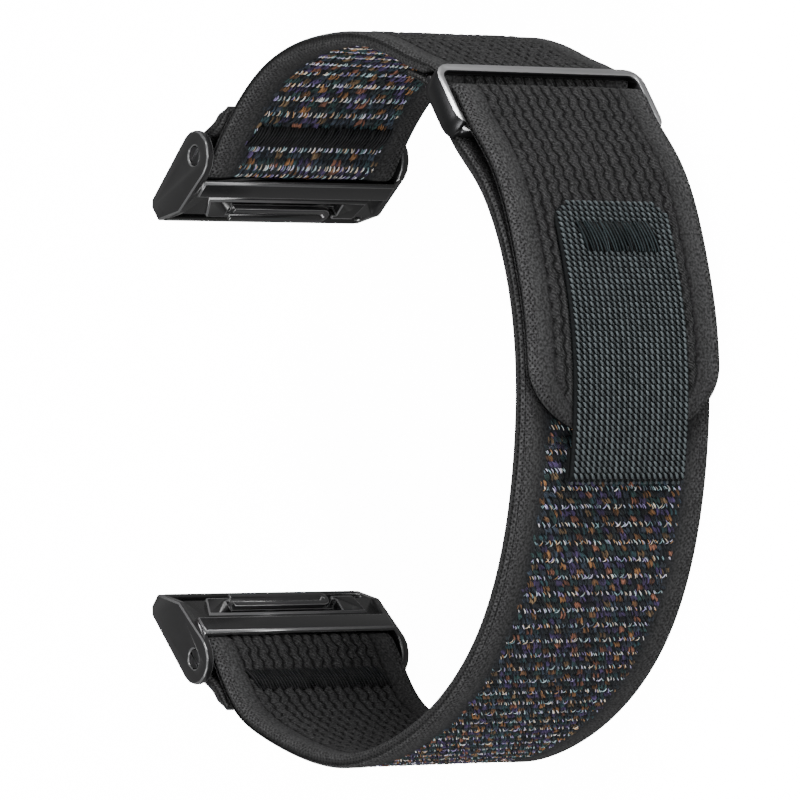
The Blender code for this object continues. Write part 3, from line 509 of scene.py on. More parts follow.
def makeClothMaterial():
    look = clothLook
    material, tree, shader = newMaterial("webbingCloth", look["roughness"], Specular_IOR_Level=look["shine"])
    along, around = attributeNode(tree, "along"), attributeNode(tree, "around")
    rib, pile = attributeNode(tree, "ribZone"), attributeNode(tree, "pileZone")
    edge, seam = attributeNode(tree, "edgeZone"), attributeNode(tree, "seam")
    place = placeNode(tree, along, around, attributeNode(tree, "side"))
    fine, broad = groupNode(tree, feltGrain, {"Vector": place})
    dots = groupNode(tree, stitchDots, {
        "Along": along, "Around": around, "Pitch": look["dotPitch"], "Row Pitch": look["dotRow"],
    })
    crest, fibres = groupNode(tree, cordRibs, {
        "Along": along, "Around": around, "Pitch": ribPitch,
        "Wave Length": cloth["waveLength"], "Wave Swing": cloth["waveSwing"],
        "Fibre Pitch": look["fibrePitch"], "Fibre Slant": look["fibreSlant"],
        "Shake Scale": cloth["shakeScale"], "Shake": cloth["shake"],
    })
    # Valleys between the ribs, the gaps between fibres and the seam are painted dark: painted shade
    ribColour = mixColour(tree, rangeNode(tree, crest, *look["valleySpan"]), look["valleyShade"], look["rib"])
    ribColour = mixColour(tree, times(tree, fibres, look["fibreShade"]), ribColour, look["valleyShade"])
    # The border is painted paler towards the cut edge, a painted sheen where the edge rounds over
    reach = mathNode(tree, "ABSOLUTE", around)
    edgeSheen = rangeNode(tree, reach, cloth["width"] / 2 - cloth["border"], cloth["width"] / 2)
    colour = mixColour(tree, rib, mixColour(tree, edgeSheen, look["border"], look["borderEdgeSheen"]), ribColour)
    colour = mixColour(tree, pile, colour, look["knit"])
    colour = mixColour(tree, times(tree, seam, look["seamShade"]), colour, look["valleyShade"])
    # The knit holes are painted dark: painted shade inside them
    holes = times(tree, dots["Holes"], edge)
    colour = mixColour(tree, times(tree, holes, look["holeShade"]), colour, look["hole"])
    grain = plus(tree, times(tree, fine, look["fineShare"]), times(tree, broad, look["broadShare"]))
    colour = toneColour(tree, grain, look["grainSpan"], look["tones"], colour)
    tree.links.new(colour, shader.inputs["Base Color"])
    height = minus(tree, grain, times(tree, holes, look["holeDepth"]))
    crestRise = rangeNode(tree, crest, *look["crestSpan"], 0.0, look["crestHeight"])
    cord = plus(tree, crestRise, times(tree, fibres, look["fibreDepth"]))
    bumpNormal(tree, shader, plus(tree, height, times(tree, cord, rib)), look["bump"])
    return material


yarnLooks = {
    "loopYarn": {"roughness": 0.62, "sheen": 0.02, "shine": 0.15},
    "weaveYarn": {"roughness": 0.45, "sheen": 0.0, "shine": 0.18},
    "satinThread": {"roughness": 0.45, "sheen": 0.0, "shine": 0.07},
    "hookMonofilament": {"roughness": 0.35, "sheen": 0.0, "shine": 0.3},
}
yarnGrain = {"scale": 6000, "detail": 2, "span": (0.3, 0.7), "tones": (0.75, 1.25), "bump": 0.00003}


def makeYarnMaterial(name):
    # Threads take their colour from the tint that each one carries
    look = yarnLooks[name]
    material, tree, shader = newMaterial(
        name, look["roughness"], Sheen_Weight=look["sheen"], Specular_IOR_Level=look["shine"],
    )
    tint = attributeNode(tree, "tint", "Color")
    grain = noiseNode(tree, objectPlace(tree), yarnGrain["scale"], yarnGrain["detail"])
    colour = toneColour(tree, grain, yarnGrain["span"], yarnGrain["tones"], tint)
    tree.links.new(colour, shader.inputs["Base Color"])
    bumpNormal(tree, shader, grain, yarnGrain["bump"])
    return material


plainCloths = {
    # The tab's ground shows in the gaps between the weave's beads and is painted near-black, a painted shade
    # for those gaps
    "tabGround": {"colour": (0.0022, 0.0028, 0.0031), "roughness": 0.85},
    "hookTape": {"colour": (0.006, 0.006, 0.0065), "roughness": 0.7},
}
plainGrain = {"dark": 0.45, "span": (0.35, 0.65), "bump": 0.00006, "shine": 0.10}


def makePlainCloth(name):
    look = plainCloths[name]
    material, tree, shader = newMaterial(name, look["roughness"], Specular_IOR_Level=plainGrain["shine"])
    grain = groupNode(tree, feltGrain, {"Vector": objectPlace(tree)})["Grain"]
    dark = tuple(plainGrain["dark"] * value for value in look["colour"])
    colour = mixColour(tree, rangeNode(tree, grain, *plainGrain["span"]), dark, look["colour"])
    tree.links.new(colour, shader.inputs["Base Color"])
    bumpNormal(tree, shader, grain, plainGrain["bump"])
    return material


metalLooks = {
    "blackCoating": {
        "colour": (0.0050, 0.0050, 0.0052), "worn": (0.0075, 0.0075, 0.0078),
        "highlightColour": (0.0480, 0.0480, 0.0490), "roughness": 0.24, "metallic": 0.0,
        "stretch": (900.0, 900.0, 900.0),
    },
    "latchCoating": {
        "colour": (0.0100, 0.0100, 0.0105), "worn": (0.0130, 0.0130, 0.0135),
        "highlightColour": (0.0560, 0.0560, 0.0570), "roughness": 0.24, "metallic": 0.0,
        "stretch": (900.0, 900.0, 900.0),
    },
    "plainSteel": {
        "colour": (0.050, 0.050, 0.052), "worn": (0.036, 0.036, 0.037),
        "highlightColour": (0.080, 0.080, 0.082), "roughness": 0.36, "metallic": 1.0,
        "stretch": (9000.0, 9000.0, 400.0),
    },
}
metalGrain = {"shine": 0.6, "wornShare": 0.5, "highlightShare": 0.9, "roughSpread": 0.08, "bump": 0.0000012}


def makeMetal(name):
    look = metalLooks[name]
    material, tree, shader = newMaterial(
        name, look["roughness"], look["metallic"], Specular_IOR_Level=metalGrain["shine"],
    )
    grain, scuff = groupNode(tree, brushedGrain, {"Vector": objectPlace(tree), "Stretch": look["stretch"]})
    base = mixColour(tree, times(tree, scuff, metalGrain["wornShare"]), look["colour"], look["worn"])
    # Rounded edges are painted pale: a painted highlight along them
    paintedHighlight = times(tree, attributeNode(tree, "paintedEdgeHighlight"), metalGrain["highlightShare"])
    tree.links.new(mixColour(tree, paintedHighlight, base, look["highlightColour"]), shader.inputs["Base Color"])
    spread = metalGrain["roughSpread"]
    rough = plus(tree, times(tree, grain, spread), look["roughness"] - spread / 2)
    tree.links.new(rough, shader.inputs["Roughness"])
    bumpNormal(tree, shader, grain, metalGrain["bump"])
    return material


clothMaterial = makeClothMaterial()
loopMaterial, weaveMaterial, threadMaterial, hookMaterial = (makeYarnMaterial(name) for name in yarnLooks)
tabBaseMaterial, hookBaseMaterial = (makePlainCloth(name) for name in plainCloths)
adapterMaterial, latchMaterial, steelMaterial = (makeMetal(name) for name in metalLooks)
print("finishes made")


# Geometry trees

def named(tree, name, kind="FLOAT"):
    return addNode(tree, "GeometryNodeInputNamedAttribute", {"Name": name}, data_type=kind).outputs[0]


def newTree(name, inputs):
    tree = bpy.data.node_groups.new(name, "GeometryNodeTree")
    tree.interface.new_socket("Geometry", in_out="INPUT", socket_type="NodeSocketGeometry")
    newSockets(tree, inputs)
    tree.interface.new_socket("Geometry", in_out="OUTPUT", socket_type="NodeSocketGeometry")
    return tree, tree.nodes.new("NodeGroupInput").outputs, tree.nodes.new("NodeGroupOutput")


def finishTree(tree, geometry, material, outside):
    realized = addNode(tree, "GeometryNodeRealizeInstances", {0: geometry}).outputs[0]
    smooth = addNode(tree, "GeometryNodeSetShadeSmooth", {0: realized}).outputs[0]
    finished = addNode(tree, "GeometryNodeSetMaterial", {"Geometry": smooth, "Material": material})
    tree.links.new(finished.outputs[0], outside.inputs[0])


def makeRibTree():
    # Raises wavy lengthwise ribs on the cloth's rib face, sinks its fields and seams
    tree, sizes, outside = newTree("wavyRibs", {
        "Rib Pitch": 0.002, "Rib Height": 0.0004, "Rib Sink": 0.0001, "Knit Sink": 0.0003,
        "Wave Length": 0.0017, "Wave Swing": 0.0002, "Border Crown": 0.0001, "Seam Depth": 0.0002,
        "Shake Scale": 650.0, "Shake": 0.0008, "Material": None,
    })
    along, around = named(tree, "along"), named(tree, "around")
    turn = times(tree, mathNode(tree, "DIVIDE", along, sizes["Wave Length"]), 2 * math.pi)
    lane = mathNode(tree, "DIVIDE", around, sizes["Rib Pitch"])
    swing = times(tree, mathNode(tree, "SINE", turn), sizes["Wave Swing"])
    shake = shakeNodes(tree, placeNode(tree, along, around), sizes["Shake Scale"], sizes["Shake"])
    moved = plus(tree, plus(tree, around, swing), shake)
    place = times(tree, mathNode(tree, "DIVIDE", moved, sizes["Rib Pitch"]), math.pi)
    crest = mathNode(tree, "ABSOLUTE", mathNode(tree, "SINE", place))
    ridge = mathNode(tree, "POWER", crest, cloth["ridgePower"])
    # Each rib is a chain of slanted lobes
    slant = mathNode(tree, "SINE", plus(tree, turn, times(tree, lane, cloth["lobeTurn"])))
    lobe = mathNode(tree, "MULTIPLY_ADD", slant, cloth["lobeDepth"], 1 - cloth["lobeDepth"])
    height = times(tree, times(tree, times(tree, ridge, lobe), sizes["Rib Height"]), named(tree, "ribZone"))
    for size, zone in (("Rib Sink", "ribZone"), ("Knit Sink", "pileZone"), ("Seam Depth", "seam")):
        height = minus(tree, height, times(tree, sizes[size], named(tree, zone)))
    height = plus(tree, height, times(tree, sizes["Border Crown"], named(tree, "crown")))
    offset = addNode(tree, "ShaderNodeVectorMath", {
        0: named(tree, "outward", "FLOAT_VECTOR"), "Scale": times(tree, height, named(tree, "fullness")),
    }, operation="SCALE")
    inputs = {"Geometry": sizes["Geometry"], "Offset": offset.outputs[0]}
    ribbed = addNode(tree, "GeometryNodeSetPosition", inputs).outputs[0]
    finishTree(tree, ribbed, sizes["Material"], outside)
    return tree


def makeStrandTree():
    # Lays one short arched strand on each guide point, turned by the point's own ways
    tree, sizes, outside = newTree("yarnStrands", {
        "Strand Length": 0.001, "Strand Radius": 0.0001, "Arch": 0.0003, "End Share": 0.4, "Swell Power": 0.6,
        "Sides": 4, "Steps": 5, "Material": None,
    })
    half = times(tree, sizes["Strand Length"], 0.5)
    bezier = addNode(tree, "GeometryNodeCurveQuadraticBezier", {
        "Resolution": minus(tree, sizes["Steps"], 1), "Start": placeNode(tree, times(tree, half, -1)),
        "Middle": placeNode(tree, z=times(tree, sizes["Arch"], 2)), "End": placeNode(tree, half),
    })
    factor = tree.nodes.new("GeometryNodeSplineParameter").outputs["Factor"]
    bow = mathNode(tree, "POWER", mathNode(tree, "SINE", times(tree, factor, math.pi)), sizes["Swell Power"])
    swell = plus(tree, times(tree, bow, minus(tree, 1.0, sizes["End Share"])), sizes["End Share"])
    core = addNode(tree, "GeometryNodeSetCurveRadius", {"Curve": bezier.outputs[0], "Radius": swell})
    profile = addNode(tree, "GeometryNodeCurvePrimitiveCircle", {
        "Resolution": sizes["Sides"], "Radius": sizes["Strand Radius"],
    })
    strand = addNode(tree, "GeometryNodeCurveToMesh", {
        "Curve": core.outputs[0], "Profile Curve": profile.outputs[0], "Fill Caps": True,
    })
    if "Scale" in strand.inputs:
        tree.links.new(tree.nodes.new("GeometryNodeInputRadius").outputs[0], strand.inputs["Scale"])
    points = addNode(tree, "GeometryNodeMeshToPoints", {"Mesh": sizes["Geometry"]})
    turned = addNode(tree, "FunctionNodeAxesToRotation", {
        "Primary Axis": named(tree, "lengthwise", "FLOAT_VECTOR"),
        "Secondary Axis": named(tree, "outward", "FLOAT_VECTOR"),
    }, primary_axis="X", secondary_axis="Z")
    strands = addNode(tree, "GeometryNodeInstanceOnPoints", {
        "Points": points.outputs[0], "Instance": strand.outputs[0], "Rotation": turned.outputs[0],
        "Scale": named(tree, "scale", "FLOAT_VECTOR"),
    })
    finishTree(tree, strands.outputs[0], sizes["Material"], outside)
    return tree


ribTree, strandTree = makeRibTree(), makeStrandTree()


def applyTree(piece, tree, values):
    # Runs a tree on a piece and keeps the result as a plain mesh
    modifier = piece.modifiers.new(tree.name, "NODES")
    modifier.node_group = tree
    sockets = {item.name: item.identifier for item in tree.interface.items_tree if item.in_out == "INPUT"}
    for name, value in values.items():
        modifier[sockets[name]] = value
    depsgraph = bpy.context.evaluated_depsgraph_get()
    mesh = bpy.data.meshes.new_from_object(
        piece.evaluated_get(depsgraph), preserve_all_data_layers=True, depsgraph=depsgraph,
    )
    piece.modifiers.clear()
    old = piece.data
    piece.data = mesh
    bpy.data.meshes.remove(old)
    return piece


# Webbing bodies

def storeFloat(mesh, name, values, domain="POINT"):
    layer = mesh.attributes.new(name, "FLOAT", domain)
    layer.data.foreach_set("value", np.asarray(values, np.float32).ravel())


def storeVector(mesh, name, values):
    layer = mesh.attributes.new(name, "FLOAT_VECTOR", "POINT")
    layer.data.foreach_set("vector", np.asarray(values, np.float32).ravel())


def crossSection(halfWidth, half, columns):
    # One ring of points round a strip: left face, edge, right face, edge. Each point has its place across,
    # its height, how far round it is, its face and the two parts of its way outward
    rounding = np.minimum(cloth["edgeRound"], cloth["mostRound"] * half)[:, None]
    flat = halfWidth[:, None] - rounding
    half = half[:, None]
    quarter = np.linspace(0, math.pi / 2, cloth["edgeSteps"] + 1)[1:]
    parts = []
    for face, number in ((1, columns[0]), (-1, columns[1])):
        y = flat * (face * np.linspace(-1, 1, number))
        parts.append((y, face * half, y, face, 0, face))
        # The edge's second half starts at the other face again, which leaves a narrow groove along the edge
        for up, angle in ((1, quarter), (-1, math.pi / 2 - quarter[::-1])):
            across, height = np.sin(angle), up * np.cos(angle)
            parts.append((
                face * (flat + rounding * across), face * (up * (half - rounding) + rounding * height),
                face * (flat + rounding * angle), face * up, face * across, face * height,
            ))
    rings = [[np.broadcast_to(value, part[0].shape) for value in part] for part in parts]
    return [np.concatenate(values, axis=1) for values in zip(*rings)]


def stripMesh(name, stations, halfWidth, columns):
    # A closed strip along the stations, and where each of its points lies in its cross-section
    section = crossSection(halfWidth, stations["half"], columns)
    y, height = section[:2]
    count, ringCount = y.shape
    points = np.zeros((count, ringCount, 3))
    points[:, :, :2] = stations["centre"][:, None, :] + stations["normal"][:, None, :] * height[:, :, None]
    points[:, :, 2] = midZ + y
    index = np.arange(count * ringCount).reshape(count, ringCount)
    nextRing = np.roll(index, -1, axis=1)
    faces = np.stack((index[:-1], nextRing[:-1], nextRing[1:], index[1:]), axis=-1).reshape(-1, 4).tolist()
    faces += [index[0][::-1].tolist(), index[-1].tolist()]
    mesh = bpy.data.meshes.new(name)
    mesh.from_pydata(points.reshape(-1, 3).tolist(), [], faces)
    shape = bmesh.new()
    shape.from_mesh(mesh)
    bmesh.ops.recalc_face_normals(shape, faces=shape.faces)
    shape.to_mesh(mesh)
    shape.free()
    mesh.shade_smooth()
    return mesh, section


def webbingBody(name, stations, columns, ribFace, halfWidth=None, alongShift=0.0):
    # ribFace is +1 where the ribs lie on the left face, -1 where they lie on the right one
    if halfWidth is None:
        halfWidth = np.full(len(stations["along"]), cloth["width"] / 2)
    mesh, (y, _, around, face, outY, outN) = stripMesh(name, stations, halfWidth, columns)
    outward = np.zeros((*y.shape, 3))
    outward[:, :, :2] = stations["normal"][:, None, :] * outN[:, :, None]
    outward[:, :, 2] = outY
    along = np.broadcast_to(stations["along"][:, None] + alongShift, y.shape)
    field = halfWidth[:, None] - cloth["border"]
    reach = np.abs(around)
    zone = ease((field - reach) / cloth["borderSoft"] + 0.5)
    onFace = np.abs(outN) > cloth["flatFace"]
    seam = np.exp(-(((reach - field) / cloth["seamWidth"]) ** 2))
    borderShare = (reach - field) / cloth["border"]
    edge = (reach - (halfWidth[:, None] - cloth["edgeBand"])) / cloth["edgeSoft"]
    fullness = np.clip(stations["half"] / halfPly, 0, 1)[:, None]
    storeFloat(mesh, "along", along)
    storeFloat(mesh, "around", around)
    storeFloat(mesh, "side", face * cloth["sideShift"])
    storeFloat(mesh, "ribZone", zone * onFace * (face == ribFace))
    storeFloat(mesh, "pileZone", zone * onFace * (face == -ribFace))
    storeFloat(mesh, "seam", seam * onFace * (face == ribFace))
    storeFloat(mesh, "crown", np.clip(1 - (2 * borderShare - 1) ** 2, 0, 1) * onFace)
    storeFloat(mesh, "edgeZone", ease(edge))
    storeFloat(mesh, "fullness", np.broadcast_to(fullness, y.shape))
    storeVector(mesh, "outward", outward)
    piece = linkPiece(name, mesh, None)
    return applyTree(piece, ribTree, {
        "Rib Pitch": ribPitch, "Rib Height": cloth["ribHeight"], "Rib Sink": cloth["ribSink"],
        "Knit Sink": cloth["knitSink"], "Wave Length": cloth["waveLength"], "Wave Swing": cloth["waveSwing"],
        "Border Crown": cloth["borderCrown"], "Seam Depth": cloth["seamDepth"],
        "Shake Scale": cloth["shakeScale"], "Shake": cloth["shake"], "Material": clothMaterial,
    })


bothFaces = (cloth["ribColumns"], cloth["knitColumns"])


def upperStretches():
    line = upperLine
    end = line["length"]
    tongue = ringPlan["tongue"]
    taperEnd = end - 2 * wrapInner
    taperStart = taperEnd - ringPlan["tongueTaper"]

    def wristSide(distances):
        share = (distances - taperStart) / (taperEnd - taperStart)
        return halfPly - (cloth["thickness"] + (tongue - cloth["thickness"]) * ease(share))

    back = halfPly - 2 * wrapOuter
    return adapterFold(line, 1) + [
        ply(line, 0, end, wristSide, halfPly),
        fold(pinPlace, wrapInner, wrapOuter, approachOut, approach),
        ply(line, end, end - ringPlan["return"], back + tongue, back),
    ]


def lowerStretches(noseShare):
    # Up to part of the way round the nose, where the tail's piece takes over
    line = lowerLine
    turn = fold(nosePlace, noseFold + halfPly, noseFold - halfPly, -ringOut, -ringAlong)
    keep = round(len(turn[0]) * noseShare)
    length = ply(line, 0, line["length"], -halfPly, halfPly)
    return adapterFold(line, -1) + [length, (turn[0][:keep], turn[1][:keep])]


tailPlan = {
    "split": 0.0016, "length": 0.0350, "tip": 0.0085, "gap": 0.0003, "noseShare": 0.5,
    "roundedTo": 0.9995, "leastHalf": 0.0012, "bendBefore": 0.0016, "bendAfter": 0.0034,
}
barAt = lowerLine["length"] - (ringHeight - ringPlan["bar"] / 2 - noseU)
tailApart = closing(2 * noseFold, plyPitch, ringPlan["tailClosing"])
tailStart = barAt - tailPlan["split"] - tailPlan["gap"]
tailEnd = tailStart - tailPlan["length"]


def apartAt(distances):
    return tailApart(barAt - distances)


def tailStretches():
    line = lowerLine
    turn = fold(nosePlace, noseFold + halfPly, noseFold - halfPly, -ringOut, -ringAlong)
    keep = round(len(turn[0]) * tailPlan["noseShare"]) - 1
    nose = (turn[0][keep:], turn[1][keep:])
    return [
        nose, ply(line, line["length"], barAt, 2 * noseFold + halfPly, 2 * noseFold - halfPly),
        ply(line, barAt - loop["fineStep"], tailEnd, shifted(apartAt, halfPly), shifted(apartAt, -halfPly)),
    ]


def bodyPoint(distance, offset):
    place = beside(lowerLine, np.array([distance]), offset)[0] + origin
    return place[0], place[1], midZ


def makeStraps():
    upperStations = stationsOf(upperStretches(), cloth["step"])
    upper = webbingBody("upperWebbing", upperStations, bothFaces[::-1], -1)
    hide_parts("upper_strap")
    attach(upper, "band")

    lowerStations = stationsOf(lowerStretches(tailPlan["noseShare"]), cloth["step"])
    lower = webbingBody("lowerWebbing", lowerStations, bothFaces, 1)
    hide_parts("lower_strap")
    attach(lower, "band")
    lowerLength = float(lowerStations["along"][-1])

    tailStations = stationsOf(tailStretches(), cloth["step"])
    toTip = tailStations["along"][-1] - tailStations["along"]
    share = np.clip(1 - toTip / tailPlan["tip"], 0, tailPlan["roundedTo"])
    halfWidth = np.maximum(cloth["width"] / 2 * np.sqrt(1 - share**2), tailPlan["leastHalf"])
    tail = webbingBody("tailWebbing", tailStations, bothFaces, 1, halfWidth, lowerLength)
    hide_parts("strap_tail")
    hinge = tailStart + tailPlan["gap"] / 2
    bodyPoint(hinge + tailPlan["bendBefore"], shifted(apartAt, halfPly))
    bodyPoint(hinge - tailPlan["bendAfter"], shifted(apartAt, halfPly))
    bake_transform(tail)
    return upperStations, lowerStations, tailStations


upperStations, lowerStations, tailStations = makeStraps()
print("webbing made")


# Coloured loops of the knit face

pilePlan = {
    "columns": 20, "rowPitch": 0.00203, "margin": 0.00035, "seed": 11,
    # The knit of the upper length is coarser in the photograph and slants less
    "upperGrow": 1.35, "upperSlant": -0.3,
    "tuftRows": (0.31, 0.66), "tufts": 7, "coveredTufts": 4, "rowStray": 0.00010, "tuftSpread": 0.42,
    "tuftLength": 0.00092, "tuftRadius": 0.000094, "tuftArch": 0.00022, "tuftSizes": (0.75, 1.1),
    "tuftSteps": 3, "tuftLean": (0.55, 0.12), "tuftStray": 0.14, "tuftShades": (0.6, 1.5),
    "strandShades": (0.2, 2.1),
    "tickPitch": 0.00066, "ticks": 2, "tickStray": 0.00007, "tickSideStray": 0.00016,
    "tickLength": 0.00074, "tickRadius": 0.000062, "tickArch": 0.00020, "tickSizes": (0.75, 1.15),
    "tickSteps": 4, "tickLean": (0.62, 0.12), "tickWays": (1, 1, 1, 1, 1, 1, -1), "tickShades": (0.4, 1.05),
    "sides": 3, "endShare": 0.4, "sinkShare": 0.4, "warmPitch": 0.0041, "warmShift": 0.43, "warmShare": 0.9,
    # How flat the loops are pressed under the tail, in the return by the adapter and round its bar
    "tailFlat": 0.45, "returnFlat": 0.8, "barFlat": 0.5,
    # How far the rows keep from the ends of the stretches that they lie on
    "tailClear": 0.0004, "barClear": 0.0012, "spanClear": 0.0001, "noseClear": 0.0020, "returnClear": 0.0010,
    "barStart": 0.0034, "barEnd": 0.0006, "ringClear": 0.0040,
    "tints": [
        (0.0056, 0.0150, 0.0176), (0.0076, 0.0120, 0.0182), (0.0160, 0.0108, 0.0320),
        (0.0064, 0.0162, 0.0158), (0.0034, 0.0046, 0.0060), (0.0076, 0.0108, 0.0162),
        (0.0190, 0.0130, 0.0350), (0.0044, 0.0064, 0.0074),
    ],
    "warms": [(0.068, 0.033, 0.013), (0.054, 0.028, 0.013), (0.062, 0.026, 0.016), (0.047, 0.031, 0.016)],
    "lights": [
        (0.60, 0.50, 0.38), (0.52, 0.50, 0.66), (0.42, 0.54, 0.56), (0.24, 0.20, 0.38), (0.16, 0.26, 0.28),
        (0.34, 0.19, 0.09), (0.10, 0.13, 0.16), (0.66, 0.64, 0.62),
    ],
}


def readStations(stations, along):
    def read(key, places):
        values = stations[key]
        return np.stack([np.interp(places, stations["along"], values[:, i]) for i in (0, 1)], axis=1)

    step = stations["along"][1]
    way = read("centre", along + step) - read("centre", along - step)
    way /= np.hypot(*way.T)[:, None]
    half = np.interp(along, stations["along"], stations["half"])
    return read("centre", along), read("normal", along), half, way


def guideMesh(name, places, outward, lengthwise, tints, scales):
    mesh = bpy.data.meshes.new(name)
    mesh.from_pydata(np.asarray(places).tolist(), [], [])
    storeVector(mesh, "outward", outward)
    storeVector(mesh, "lengthwise", lengthwise)
    storeVector(mesh, "scale", scales)
    colours = np.concatenate((np.asarray(tints), np.ones((len(tints), 1))), axis=1).astype(np.float32)
    mesh.attributes.new("tint", "FLOAT_COLOR", "POINT").data.foreach_set("color", colours.ravel())
    return mesh


def strandPiece(name, guides, length, radius, arch, material, sides, steps, endShare):
    piece = linkPiece(name, guideMesh(name, *guides), None)
    return applyTree(piece, strandTree, {
        "Strand Length": length, "Strand Radius": radius, "Arch": arch, "End Share": endShare,
        "Sides": sides, "Steps": steps, "Material": material,
    })


def surfaceGuides(stations, face, along, across, turn, lift):
    # Guides on one face of a strip, each turned by its own angle in the face
    centre, normal, half, way = readStations(stations, along)
    outward = np.zeros((len(along), 3))
    outward[:, :2] = face * normal
    forward = np.zeros_like(outward)
    forward[:, :2] = way
    places = np.zeros_like(outward)
    places[:, :2] = centre + face * normal * (half + lift)[:, None]
    places[:, 2] = midZ + across
    sideways = np.zeros_like(outward)
    sideways[:, 2] = 1
    lengthwise = forward * np.cos(turn)[:, None] + sideways * np.sin(turn)[:, None]
    return places, outward, lengthwise


def makePile(name, stations, face, slant, spans, tuftCount, grow, rng):
    # Rows of bright slanted ticks with staggered, coloured tufts between them
    plan = pilePlan
    width = cloth["width"] / 2 - cloth["border"] - plan["margin"]
    columns = round(plan["columns"] / grow)
    columnPitch = 2 * width / (columns - 1)
    rowPitch = plan["rowPitch"] * grow
    warmPitch = plan["warmPitch"] * grow
    tufts, ticks = [], []
    row = 0
    for start, end, flat in spans:
        for at in np.arange(start, end, rowPitch):
            for number, share in enumerate(plan["tuftRows"]):
                row += 1
                for column in range(columns - number):
                    across = -width + (column + number / 2) * columnPitch
                    warm = (across / warmPitch + row * plan["warmShift"]) % 1 < columnPitch / warmPitch
                    pool = plan["warms"] if warm and rng.random() < plan["warmShare"] else plan["tints"]
                    tint = np.array(pool[rng.integers(len(pool))]) * rng.uniform(*plan["tuftShades"])
                    lean = slant * rng.normal(*plan["tuftLean"])
                    for _ in range(tuftCount):
                        place = at + share * rowPitch + rng.normal(0, plan["rowStray"])
                        aside = across + rng.uniform(-plan["tuftSpread"], plan["tuftSpread"]) * columnPitch
                        turn = lean + rng.normal(0, plan["tuftStray"])
                        colour = tint * rng.uniform(*plan["strandShades"])
                        tufts.append((place, aside, turn, *colour, rng.uniform(*plan["tuftSizes"]), flat))
            for across in np.arange(-width, width, plan["tickPitch"]):
                for _ in range(plan["ticks"]):
                    pool = plan["lights"]
                    light = np.array(pool[rng.integers(len(pool))]) * rng.uniform(*plan["tickShades"])
                    turn = slant * rng.normal(*plan["tickLean"]) * rng.choice(plan["tickWays"])
                    place = at + rng.normal(0, plan["tickStray"])
                    aside = across + rng.normal(0, plan["tickSideStray"])
                    ticks.append((place, aside, turn, *light, rng.uniform(*plan["tickSizes"]), flat))
    for kind, rows in (("tuft", tufts), ("tick", ticks)):
        data = np.array(rows)
        radius = plan[kind + "Radius"] * grow
        lift = np.full(len(data), -cloth["knitSink"] - radius * plan["sinkShare"])
        guides = surfaceGuides(stations, face, data[:, 0], data[:, 1], data[:, 2], lift)
        scales = np.stack((data[:, 6], data[:, 6], data[:, 6] * data[:, 7]), axis=1)
        piece = strandPiece(
            f"{name}_{kind}", (*guides, data[:, 3:6], scales), plan[kind + "Length"] * grow, radius,
            plan[kind + "Arch"], loopMaterial, plan["sides"], plan[kind + "Steps"], plan["endShare"],
        )
        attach(piece, "band")


def makePiles():
    plan = pilePlan
    rng = np.random.default_rng(plan["seed"])
    _, mainStart, mainEnd, *_ = lowerStations["ends"]
    underTail = mainStart + tailEnd - plan["tailClear"]  # the tail lies on the strap beyond here
    start = mainStart + plan["barClear"]
    middle = start + int((underTail - start) / plan["rowPitch"] / 2) * plan["rowPitch"]
    for name, spans, tufts in (
        ("lowerLoops", [(start, middle - plan["spanClear"], 1.0)], plan["tufts"]),
        ("sideLoops", [(middle, underTail, 1.0)], plan["tufts"]),
        ("coveredLoops", [(underTail, mainEnd - plan["noseClear"], plan["tailFlat"])], plan["coveredTufts"]),
    ):
        makePile(name, lowerStations, -1, 1, spans, tufts, 1, rng)
    returnEnd, mainStart, mainEnd = upperStations["ends"][:3]
    barEnd = mainStart + plan["barEnd"]
    makePile("upperLoops", upperStations, 1, plan["upperSlant"], [
        (plan["returnClear"], returnEnd - plan["returnClear"], plan["returnFlat"]),
        (mainStart - plan["barStart"], barEnd, plan["barFlat"]),
        (barEnd, mainEnd - plan["ringClear"], 1.0),
    ], plan["tufts"], plan["upperGrow"], rng)


makePiles()
print("loops laid")


# Bar-tacks: satin stitches packed side by side on a slant

tackPlan = {
    "threadPitch": 0.00040, "threadRadius": 0.00020, "rise": 0.00022, "sides": 6, "steps": 9, "endShare": 0.7,
    "under": 0.12, "over": 6.5, "overThin": 0.30, "overLift": 0.00008, "shades": (0.6, 1.4),
    "stray": 0.00002, "turnStray": 0.03, "seed": 5,
    "adapter": {
        "inset": 0.0039, "length": 0.0030, "width": 0.0195, "slant": -0.24, "tint": (0.0010, 0.0010, 0.0011),
        "lift": -0.00004,
    },
    "ring": {
        "inset": 0.0014, "length": 0.0026, "width": 0.0195, "slant": -0.24, "tint": (0.0010, 0.0010, 0.0011),
        "lift": -0.00008,
    },
    "tab": {
        "inset": 0.0025, "length": 0.0035, "width": 0.0110, "slant": -0.30, "tint": (0.0018, 0.0024, 0.0026),
        "lift": -0.00005,
    },
}


